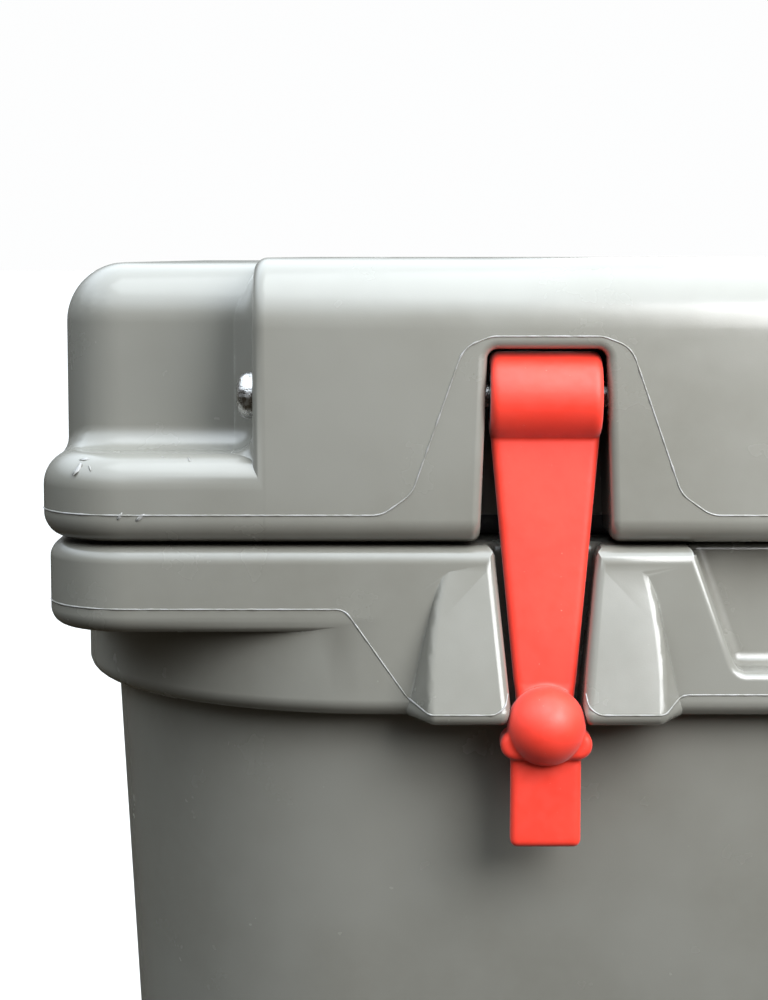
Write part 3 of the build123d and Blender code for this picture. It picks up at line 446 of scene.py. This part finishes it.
def skin_tree(piece):
    """A tree that finds where a ray meets a piece."""
    bm = bmesh.new()
    bm.from_mesh(piece.data)
    tree = BVHTree.FromBMesh(bm)
    bm.free()
    return tree


def dropped(tree, line, inward, jump):
    """The runs of a line that lie on a skin: each point goes inward until it meets the surface."""
    runs, run = [], []
    for point in line:
        way = inward(point)
        hit = tree.ray_cast(point - way * RAY_START, way)[0]
        if hit and run and (hit - run[-1]).length > jump:
            runs.append(run)
            run = []
        if hit:
            run.append(hit)
    return [r for r in runs + [run] if len(r) >= FEWEST_POINTS]


# %% A bead along the runs
WAVES = ((310, 0.0), (97, 1.3), (1100, 0.0))  # pitch in radians per metre, and phase
WAVE_SHARE = 0.35


def bead(name, runs):
    """Thin tubes along runs of points, as one mesh. Their thickness wavers, as flash does."""
    curve = bpy.data.curves.new(name, "CURVE")
    curve.dimensions = "3D"
    curve.bevel_depth = BEAD_RADIUS
    curve.bevel_resolution = 1
    curve.use_fill_caps = True
    for run in runs:
        spline = curve.splines.new("POLY")
        spline.points.add(len(run) - 1)
        for place, (point, hit) in enumerate(zip(spline.points, run)):
            along = place * BEAD_STEP
            waver = math.prod(math.sin(along * pitch + phase) for pitch, phase in WAVES)
            point.co = (*hit, 1.0)
            point.radius = 1.0 + WAVE_SHARE * waver
    drawn = bpy.data.objects.new(name, curve)
    scene.collection.objects.link(drawn)
    depsgraph = bpy.context.evaluated_depsgraph_get()
    mesh = bpy.data.meshes.new_from_object(drawn.evaluated_get(depsgraph))
    bpy.data.objects.remove(drawn)
    for face in mesh.polygons:
        face.use_smooth = True
    piece = bpy.data.objects.new(name, mesh)
    scene.collection.objects.link(piece)
    return piece


# %% [markdown]
# ### The lid's flash
# Seen from the front it is a level line with a steep-sided arch over each notch. Round the ends
# and the back it stays level, and the rays skip the windows for the hinge knuckles.

# %% The lid's flash
LID_FLASH_Z = LID_BOTTOM + 8.2 * MM
ARCH_TOP_Z = LID_FLASH_Z + 50.4 * MM
ARCH_FOOT = 46.5 * MM
ARCH_FLANK = 38.0 * MM
ARCH_SHOULDER = 23.5 * MM
ARCH_RISE = 6 * MM  # between its foot and its flank
ARCH_DROP = 3 * MM  # from its top down to its shoulder
ARCH_TURN = 8 * MM  # from its shoulder in to its top
ARCH_CURVE = 9 * MM
NOTCH_JUMP = 3 * MM  # the rays fall deeper than this where a notch cuts the line
PLAN_CORNER = 25 * MM
FLASH_GREY = 0.27


def arch(x):
    """The corners of the flash's arch over one notch, from left to right, in (x, y, z)."""
    left = [
        (x - ARCH_FOOT, LID_FRONT, LID_FLASH_Z),
        (x - ARCH_FLANK, LID_FRONT, LID_FLASH_Z + ARCH_RISE),
        (x - ARCH_SHOULDER, LID_FRONT, ARCH_TOP_Z - ARCH_DROP),
        (x - ARCH_SHOULDER + ARCH_TURN, LID_FRONT, ARCH_TOP_Z),
    ]
    return left + [(2 * x - px, py, pz) for px, py, pz in reversed(left)]


def end_and_back(half_length, front_y, rear_y, corner, z, side):
    """A level line from the front corner round one end and along the back to the middle."""
    outside = side * half_length
    places = [
        (side * (half_length - corner), front_y),
        (outside, front_y),
        (outside, rear_y),
        (0.0, rear_y),
    ]
    return rounded([(x, y, z) for x, y in places], corner)


def to_axis(half_length):
    """The way inward from the outline of the chest, level, towards its inner middle line."""
    reach = half_length - HALF_DEPTH

    def inward(point):
        """The way in from one point."""
        nearest = Vector((max(-reach, min(reach, point.x)), DEPTH_MIDDLE, point.z))
        return (nearest - point).normalized()

    return inward


def straight_in(point):
    """The way inward at the front, the same from every point."""
    return Vector((0, 1, 0))


def ring_runs(tree, inset, z):
    """The level runs round both ends and the back, inset from the lid's outline."""
    half_length = HALF_LENGTH - inset
    front, rear = LID_FRONT + inset, LID_REAR - inset
    inward = to_axis(half_length)
    runs = []
    for side in SIDES.values():
        line = walked(end_and_back(half_length, front, rear, PLAN_CORNER, z, side), RING_STEP)
        runs += dropped(tree, line, inward, 2 * RING_STEP)
    return runs


def flash_finish():
    """The shell's plastic, a little paler where it is thin."""
    finish = Finish("moulding_flash", IOR=1.5, Roughness=0.3)
    cloud = finish.step(finish.noise(300.0, 3.0), 0.3, 0.7)
    finish.set("Base Color", finish.mix(cloud, SHELL_PALE, grey(FLASH_GREY, 0.02)))
    finish.set("Normal", finish.bump(finish.noise(1800.0, 2.0), 0.04 * MM))
    return finish.done()


flash_material = flash_finish()
lid_tree = skin_tree(lid_skin)
front = [(PLAN_CORNER - HALF_LENGTH, LID_FRONT, LID_FLASH_Z)]
front += arch(-LATCH_X) + arch(LATCH_X)
front += [(HALF_LENGTH - PLAN_CORNER, LID_FRONT, LID_FLASH_Z)]
runs = dropped(lid_tree, walked(rounded(front, ARCH_CURVE)), straight_in, NOTCH_JUMP)
runs += ring_runs(lid_tree, 0.0, LID_FLASH_Z)
lid_flash = give(bead("lid_flash", runs), flash_material, "lid")
print("lid flash:", len(runs), "runs,", len(lid_flash.data.polygons), "faces")

# %% [markdown]
# ### The body's flash
# On the lip it is level too. Towards a latch it slants down across the apron to the keepers' feet,
# runs along them, and turns up into the seat that the ball rests in.

# %% The body's flash
LIP_FLASH_Z = RIM - 17.8 * MM
APRON_FLASH_Z = RIM - 42.4 * MM
KEEPER_FLASH_Z = RIM - 46.1 * MM
LIP_INSET = 1.5 * MM
LIP_FRONT = LID_FRONT + LIP_INSET
LIP_CURVE = 5 * MM
KEEPER_JUMP = 4 * MM  # more than a step on the keepers' flanks
KEEPER_CORNERS = (  # out from the latch's middle and up from KEEPER_FLASH_Z, in mm
    (32.9, 0.0),
    (14.6, 0.0),
    (11.6, 2.2),
    (11.0, 5.6),
)
SLANT_START = 57 * MM  # these three are out from the latch's middle
SLANT_END = 39 * MM
MIDDLE_END = 40 * MM


def keeper_flash(x, towards):
    """Half of the line at one latch, from the outer side inwards. towards is +1 from the left."""
    return [
        (x - towards * out * MM, LIP_FRONT, KEEPER_FLASH_Z + up * MM) for out, up in KEEPER_CORNERS
    ]


def body_front_lines():
    """The front lines of the body's flash, each from an end or the middle to a keeper's seat."""
    lines = []
    for side in SIDES.values():
        latch = side * LATCH_X
        slope = [
            (side * (HALF_LENGTH - LIP_INSET - PLAN_CORNER), LIP_FRONT, LIP_FLASH_Z),
            (latch + side * SLANT_START, LIP_FRONT, LIP_FLASH_Z),
            (latch + side * SLANT_END, LIP_FRONT, APRON_FLASH_Z - 1 * MM),
        ]
        lines.append(slope + keeper_flash(latch, -side))
        middle = [
            (0.0, LIP_FRONT, APRON_FLASH_Z),
            (latch - side * MIDDLE_END, LIP_FRONT, APRON_FLASH_Z),
        ]
        lines.append(middle + keeper_flash(latch, side))
    return lines


body_tree = skin_tree(body_skin)
runs = []
for line in body_front_lines():
    runs += dropped(body_tree, walked(rounded(line, LIP_CURVE)), straight_in, KEEPER_JUMP)
runs += ring_runs(body_tree, LIP_INSET, LIP_FLASH_Z)
body_flash = give(bead("body_flash", runs), flash_material, "root")
print("body flash:", len(runs), "runs,", len(body_flash.data.polygons), "faces")

# %% [markdown]
# ## Coves in the corner recesses
# Plastic fills the inner corners of a mould with concave rounds, called coves. In each recess of
# the lid one cove runs back along the shelf, turns up the column and fades over its top. A bevel
# of the corner's edges would tear where the triangles of the shell are long and thin, so the cove
# is a piece of its own, laid into the corner: its profile is a hollow quarter circle, extruded
# step by step along that route.

# %% A cove's profile and its sweep
COVE_RADIUS = 6.5 * MM
COVE_SUNK = 0.4 * MM
COVE_STEPS = 10
RIGHT_ANGLE = math.radians(90)


def cove_profile(corner, first, second, radius):
    """A hollow quarter circle between two directions, closed by a point sunk behind the corner."""
    middle = corner + (first + second) * radius
    points = [corner - (first + second) * COVE_SUNK]
    points.append(corner + second * radius - first * COVE_SUNK)
    for step in range(COVE_STEPS + 1):
        angle = RIGHT_ANGLE * step / COVE_STEPS
        points.append(middle - (first * math.cos(angle) + second * math.sin(angle)) * radius)
    points.append(corner + first * radius - second * COVE_SUNK)
    return points


def swept(bm, sections):
    """Extrudes the first section's outline through the others, into a tube with open ends."""
    ring = [bm.verts.new(point) for point in sections[0]]
    edges = [bm.edges.new(pair) for pair in zip(ring, ring[1:] + ring[:1])]
    for section in sections[1:]:
        moved = bmesh.ops.extrude_edge_only(bm, edges=edges)["geom"]
        copies = [part for part in moved if isinstance(part, bmesh.types.BMVert)]
        ring = [min(copies, key=lambda copy: (copy.co - vert.co).length) for vert in ring]
        lines = [part for part in moved if isinstance(part, bmesh.types.BMEdge)]
        edges = [line for line in lines if line.verts[0] in ring and line.verts[1] in ring]
        for vert, point in zip(ring, section):
            vert.co = point


# %% [markdown]
# The route lies on the recess's end wall. Each stop has a distance in from the lid's front, a
# height, the direction that faces out of the shelf or column there, and the cove's radius.

# %% The coves
RECESS_WALL = HALF_LENGTH - 62 * MM
COLUMN_IN = 25 * MM
SHELF_Z = LID_BOTTOM + 25.1 * MM
SHELF_ROUND = 10 * MM
FOOT_ROUND = 7 * MM
TOP_ROUND = 17.5 * MM
COLUMN_TOP = lid_high.z - 1.4 * MM
ARC_STOPS = 10
THINNEST = 0.004  # of the cove's radius, where it fades out
SHELF_FADE = math.radians(38)
TOP_FADE = math.radians(72)


def arc_stops(middle_in, middle_z, round_radius, start, end, fade):
    """Stops along an arc. Angles go from straight up, 0, to straight forwards, 90 degrees. The cove
    grows along it where fade is "in", and shrinks where it is "out"."""
    stops = []
    for step in range(ARC_STOPS + 1):
        share = step / ARC_STOPS
        angle = start + (end - start) * share
        out = Vector((-math.sin(angle), math.cos(angle)))
        place = Vector((middle_in, middle_z)) + out * round_radius
        faded = share if fade == "out" else 1 - share
        thin = math.cos(RIGHT_ANGLE * faded) ** 2 if fade else 1.0
        stops.append((place, out, COVE_RADIUS * max(thin, THINNEST)))
    return stops


def cove_route():
    """Over the shelf's front, round the column's foot and up over its top."""
    stops = arc_stops(SHELF_ROUND, SHELF_Z - SHELF_ROUND, SHELF_ROUND, SHELF_FADE, 0.0, "in")
    foot_in, foot_z = COLUMN_IN - FOOT_ROUND, SHELF_Z + FOOT_ROUND
    stops += arc_stops(foot_in, foot_z, -FOOT_ROUND, 0.0, RIGHT_ANGLE, None)
    top_start = RIGHT_ANGLE - TOP_FADE
    top_in, top_z = COLUMN_IN + TOP_ROUND, COLUMN_TOP - TOP_ROUND
    return stops + arc_stops(top_in, top_z, TOP_ROUND, RIGHT_ANGLE, top_start, "out")


def coves():
    """The coves of all four recesses, in one mesh."""
    bm = bmesh.new()
    for side in SIDES.values():
        for front, inward in ((LID_FRONT, 1), (LID_REAR, -1)):
            sections = []
            for place, out, radius in cove_route():
                corner = Vector((side * RECESS_WALL, front + inward * place.x, place.y))
                second = Vector((0, inward * out.x, out.y))
                sections.append(cove_profile(corner, Vector((side, 0, 0)), second, radius))
            swept(bm, sections)
    bmesh.ops.holes_fill(bm, edges=bm.edges, sides=0)
    bmesh.ops.recalc_face_normals(bm, faces=bm.faces)
    for face in bm.faces:
        face.smooth = True
    for edge in bm.edges:
        edge.smooth = edge.calc_face_angle() < SHARP
    return mesh_object(bm, "recess_coves")


recess_coves = give(coves(), shell_finish, "lid")
print("coves:", len(recess_coves.data.polygons), "faces")

# %% [markdown]
# ## Scuffs and shavings
# Handling has lifted small curls of plastic off the flange near the corner and off the flash. A
# bump can't stand away from the skin and throw a shadow, so each curl is a thin leaf: a disc drawn
# out, bent over and given a thickness, set on the skin by a ray.

# %% Scuffs and shavings
CURLS = [
    # offset from the lid's left end, height above the lid's underside, length, turn in degrees
    (14.0, 23.4, 3.2, 115),
    (12.2, 20.6, 4.6, 12),
    (16.0, 21.2, 2.2, 60),
    (24.8, 8.0, 2.6, 12),
    (30.5, 7.6, 3.2, -6),
    (44.0, 23.6, 1.8, 60),
    (36.5, 24.2, 1.2, 100),
]
CURL_CORNERS = 14
CURL_WIDTH = 0.34  # these five are shares of a curl's length
CURL_LIFT = 0.28
CURL_BEND = 0.55
CURL_WAVE = 0.15
CURL_CLEAR = 0.10
CURL_PITCH = 7
CURL_THICKNESS = 0.12 * MM


def curl(bm, place, outward, length, turn):
    """A leaf of plastic, bent away from the skin at both of its tips."""
    leaf = bmesh.ops.create_circle(bm, cap_ends=True, segments=CURL_CORNERS, radius=0.5)["verts"]
    across = outward.orthogonal().normalized()
    along = outward.cross(across)
    spin = math.radians(turn)
    first = across * math.cos(spin) + along * math.sin(spin)
    second = outward.cross(first)
    for vert in leaf:
        u, v = vert.co.x, vert.co.y
        lift = CURL_CLEAR + CURL_BEND * u * u + CURL_WAVE * math.sin(CURL_PITCH * u + turn)
        flat = first * u + second * v * CURL_WIDTH
        vert.co = place + (flat + outward * lift * CURL_LIFT) * length
    faces = list({face for vert in leaf for face in vert.link_faces})
    poked = bmesh.ops.poke(bm, faces=faces)["faces"]
    bmesh.ops.solidify(bm, geom=poked, thickness=CURL_THICKNESS)


def shavings():
    """All the curls, in one mesh."""
    bm = bmesh.new()
    for offset, height, length, turn in CURLS:
        x, z = -HALF_LENGTH + offset * MM, LID_BOTTOM + height * MM
        start = Vector((x, LID_FRONT - RAY_START, z))
        hit, normal = lid_tree.ray_cast(start, straight_in(start))[:2]
        curl(bm, hit, normal, length * MM, turn)
    bmesh.ops.recalc_face_normals(bm, faces=bm.faces)
    for face in bm.faces:
        face.smooth = True
    return mesh_object(bm, "lid_shavings")


lid_shavings = give(shavings(), flash_material, "lid")
print("shavings:", len(lid_shavings.data.polygons), "faces")

# %% [markdown]
# ## Finishes of the small pieces
# Pins, rods, feet, seals and plugs need no new shape: each CAD node keeps its mesh and takes a
# better material. Replacing them would only risk their fit.
#
# ### Steel
# The pins and rods are stainless, drawn along their length and pitted by salt. A mirror with one
# roughness would look new. Bump for the pits and a noise stretched along X for the drawing marks
# break the reflection up, and painted shade darkens what lies deep in a gap.

# %% Steel
def stainless_steel():
    """Pitted steel, brushed along X, with painted shade deep in its gaps."""
    finish = Finish("stainless_steel", Metallic=1.0)
    smear = finish.step(finish.noise(420.0, 4.0, 0.7), 0.35, 0.65)
    colour = finish.mix(smear, grey(0.55, 0.01), grey(0.30, 0.03))
    # Painted shade: near black where the steel lies deep in a gap.
    gap_shade = finish.math("MULTIPLY", finish.hollows(5 * MM), 0.8)
    finish.set("Base Color", finish.mix(gap_shade, colour, grey(0.03, 0.1)))
    finish.set("Roughness", finish.step(finish.noise(900.0, 3.0), 0.3, 0.7, 0.16, 0.36))
    hammered = finish.bump(finish.noise(520.0, 3.0, 0.6), 0.35 * MM)
    brushed = finish.noise(1.0, 2.0, 0.5, finish.stretched((60.0, 2600.0, 2600.0)))
    finish.set("Normal", finish.bump(brushed, 0.012 * MM, under=hammered))
    return finish.done()


steel_finish = stainless_steel()

# %% [markdown]
# ### Black rubber
# Feet, gasket and seals are black rubber. Pure black would hide their shape, so the colour wanders
# between two dark greys, and a broad sheen lifts the edges that turn away.

# %% Black rubber
def black_rubber():
    """Nearly black and matt, greyer where it is worn."""
    finish = Finish("black_rubber", Sheen_Weight=0.15, Sheen_Roughness=0.5)
    worn = finish.step(finish.noise(160.0, 5.0, 0.7), 0.5, 0.75)
    finish.set("Base Color", finish.mix(worn, grey(0.018), grey(0.055, 0.06)))
    finish.set("Roughness", finish.step(finish.noise(500.0, 3.0), 0.3, 0.7, 0.5, 0.72))
    finish.set("Normal", finish.bump(finish.noise(2200.0, 3.0), 0.05 * MM))
    return finish.done()


black_rubber_finish = black_rubber()

# %% [markdown]
# ### Moulded plastics
# The drain, the hinge bushes and the plugs in the fill holes are injection-moulded from three
# plastics. They differ in their greys and their gloss and in nothing else, so one function makes
# all three. Its pattern is finer than the shell's, as an injection mould is smoother.

# %% Drain plastic, bushes, fill plugs
def moulded_plastic(name, dark, light, rough):
    """Fine-grained injection-moulded plastic between two greys, with paler rubbed edges."""
    finish = Finish(name, IOR=1.48)
    cloud = finish.step(finish.noise(120.0, 4.0, 0.6), 0.3, 0.7)
    colour = finish.mix(cloud, dark, light)
    rubbed = finish.math("MULTIPLY", finish.edges(0.6 * MM), 0.5)
    finish.set("Base Color", finish.mix(rubbed, colour, grey(light[1] * 1.8 + 0.03)))
    finish.set("Roughness", finish.step(finish.noise(700.0, 2.0), 0.3, 0.7, rough, rough + 0.14))
    finish.set("Normal", finish.bump(finish.noise(2800.0, 2.0), 0.02 * MM))
    return finish.done()


drain_finish = moulded_plastic("drain_plastic", grey(0.022), grey(0.035), 0.34)
bush_finish = moulded_plastic("acetal", grey(0.56, 0.03), grey(0.66, 0.02), 0.35)
plug_finish = moulded_plastic("fill_plug_plastic", grey(0.16, 0.05), grey(0.20, 0.04), 0.4)

# %% [markdown]
# ### Foam
# The core of the walls is poured urethane foam, which ages from cream to tan. It is all cells, and
# a cloudy noise has none: a Voronoi pattern does, and it feeds both the painted shade in the pits
# and the bump, so that the two agree.

# %% Foam
FOAM_CELLS = 900.0
FOAM_FRESH = (0.80, 0.70, 0.44, 1.0)
FOAM_AGED = (0.62, 0.48, 0.25, 1.0)
FOAM_PIT_SHADE = (0.34, 0.25, 0.12, 1.0)


def cut_foam():
    """Yellowed foam with open cells of about a millimetre."""
    finish = Finish("urethane_foam", Roughness=0.9)
    cells = finish.add("TexVoronoi", "Distance", Vector=finish.place, Scale=FOAM_CELLS)
    aged = finish.step(finish.noise(30.0, 4.0, 0.6), 0.35, 0.7)
    colour = finish.mix(aged, FOAM_FRESH, FOAM_AGED)
    # Painted shade: darker brown in the middle of each cell, where the bump sinks.
    pit_shade = finish.step(cells, 0.0, 0.45, 0.55, 0.0)
    finish.set("Base Color", finish.mix(pit_shade, colour, FOAM_PIT_SHADE))
    finish.set("Normal", finish.bump(cells, 0.4 * MM))
    return finish.done()


foam_finish = cut_foam()

# %% [markdown]
# ### Which node takes which finish
# The record names a material slot for each node. One table from slots to finishes dresses them
# all, so a new pin or foot can't be left out.

# %% Which node takes which finish
SLOT_FINISHES = {
    "steel": steel_finish,
    "black_rubber": black_rubber_finish,
    "drain_plastic": drain_finish,
    "bush_plastic": bush_finish,
    "fill_plugs": plug_finish,
    "foam": foam_finish,
    "chest_shell": shell_finish,
    "latch_rubber": rubber_finish,
}
for part in frame["record"]["subparts"]:
    node = frame["nodes"][part["node"]]
    node.data.materials.clear()
    node.data.materials.append(SLOT_FINISHES[part["material_slot"]])

# %% [markdown]
# ## The studio
# A pale floor, a pale plain background, a sky-like surround, one wide soft light overhead and a
# small near one to the right of the middle, and a weak one behind that lifts the back out of the
# dark. An even surround would light the chest from below as well and flatten it, so this one is
# dark low down: the undersides of the shells stay dark and the rounded tops catch the light. A
# Light Path node shows the plain background to the camera only.

# %% Studio
FLOOR_HALF = 60.0
FLOOR_COLOUR = (0.50, 0.475, 0.455, 1.0)
SURROUND_STRENGTH = 2.4
PLAIN = (0.985, 0.988, 0.99, 1.0)
GROUND = (0.020, 0.017, 0.012, 1.0)
HORIZON = (0.055, 0.054, 0.050, 1.0)
SKY_LOW = (0.12, 0.124, 0.13, 1.0)
SKY_HIGH = (1.28, 1.42, 1.55, 1.0)
SKY_STOPS = ((0.46, GROUND), (0.51, HORIZON), (0.66, SKY_LOW), (0.84, SKY_HIGH))  # 0 down, 1 up


def add_world():
    """A surround whose colour depends only on how high one looks: ground, horizon, then sky."""
    world = bpy.data.worlds.new("pale_surround")
    scene.world = world
    world.use_nodes = True
    nodes, links = world.node_tree.nodes, world.node_tree.links
    background = nodes["Background"]
    direction = nodes.new("ShaderNodeTexCoord")
    split = nodes.new("ShaderNodeSeparateXYZ")
    ramp = nodes.new("ShaderNodeValToRGB")
    height = nodes.new("ShaderNodeMapRange")
    height.inputs["From Min"].default_value = -1.0
    links.new(direction.outputs["Generated"], split.inputs["Vector"])
    links.new(split.outputs["Z"], height.inputs["Value"])
    links.new(height.outputs["Result"], ramp.inputs["Fac"])
    links.new(ramp.outputs["Color"], background.inputs["Color"])
    stops = ramp.color_ramp.elements
    stops[0].position, stops[0].color = SKY_STOPS[0]
    stops[1].position, stops[1].color = SKY_STOPS[-1]
    for position, colour in SKY_STOPS[1:-1]:
        stops.new(position).color = colour
    background.inputs["Strength"].default_value = SURROUND_STRENGTH
    plain = nodes.new("ShaderNodeBackground")
    plain.inputs["Color"].default_value = PLAIN
    seen = nodes.new("ShaderNodeLightPath")
    either = nodes.new("ShaderNodeMixShader")
    links.new(seen.outputs["Is Camera Ray"], either.inputs["Fac"])
    links.new(background.outputs["Background"], either.inputs[1])
    links.new(plain.outputs["Background"], either.inputs[2])
    links.new(either.outputs["Shader"], nodes["World Output"].inputs["Surface"])
    return world


def add_floor():
    """A pale floor. It shows and takes shadows, but throws no light up at the undersides."""
    bm = bmesh.new()
    bmesh.ops.create_grid(bm, x_segments=2, y_segments=2, size=FLOOR_HALF)
    floor = mesh_object(bm, "floor")
    finish = Finish("pale_floor", Base_Color=FLOOR_COLOUR, Roughness=0.7)
    floor.data.materials.append(finish.done())
    floor.visible_diffuse = False
    floor.visible_glossy = False
    return floor


def add_softbox(name, place, target, size, power, colour):
    """A rectangular light at a place, turned to a target. The camera doesn't see it."""
    data = bpy.data.lights.new(name, "AREA")
    data.shape = "RECTANGLE"
    data.size, data.size_y = size
    data.energy = power
    data.color = colour
    light = bpy.data.objects.new(name, data)
    scene.collection.objects.link(light)
    light.location = place
    aim = Vector(target) - Vector(place)
    light.rotation_euler = aim.to_track_quat("-Z", "Y").to_euler()
    light.visible_camera = False
    return light


CHEST_MIDDLE = (0.0, 0.0, 0.3)
LID_FACE = (-0.05, LID_FRONT, 0.34)
COOL, NEUTRAL = (0.88, 0.96, 1.0), (0.98, 0.99, 1.0)
SOFTBOXES = [
    # name, place, target, width and height in metres, power in watts, colour
    ("overhead_softbox", (0.3, -0.3, 1.6), CHEST_MIDDLE, (2.0, 1.4), 22.0, COOL),
    ("near_softbox", (0.12, -0.50, 0.52), LID_FACE, (0.36, 0.30), 3.9, NEUTRAL),
    ("rear_softbox", (0.6, 1.6, 0.9), CHEST_MIDDLE, (1.2, 0.8), 9.0, NEUTRAL),
]
add_world()
add_floor()
for softbox in SOFTBOXES:
    add_softbox(*softbox)
scene.view_settings.view_transform = "Standard"
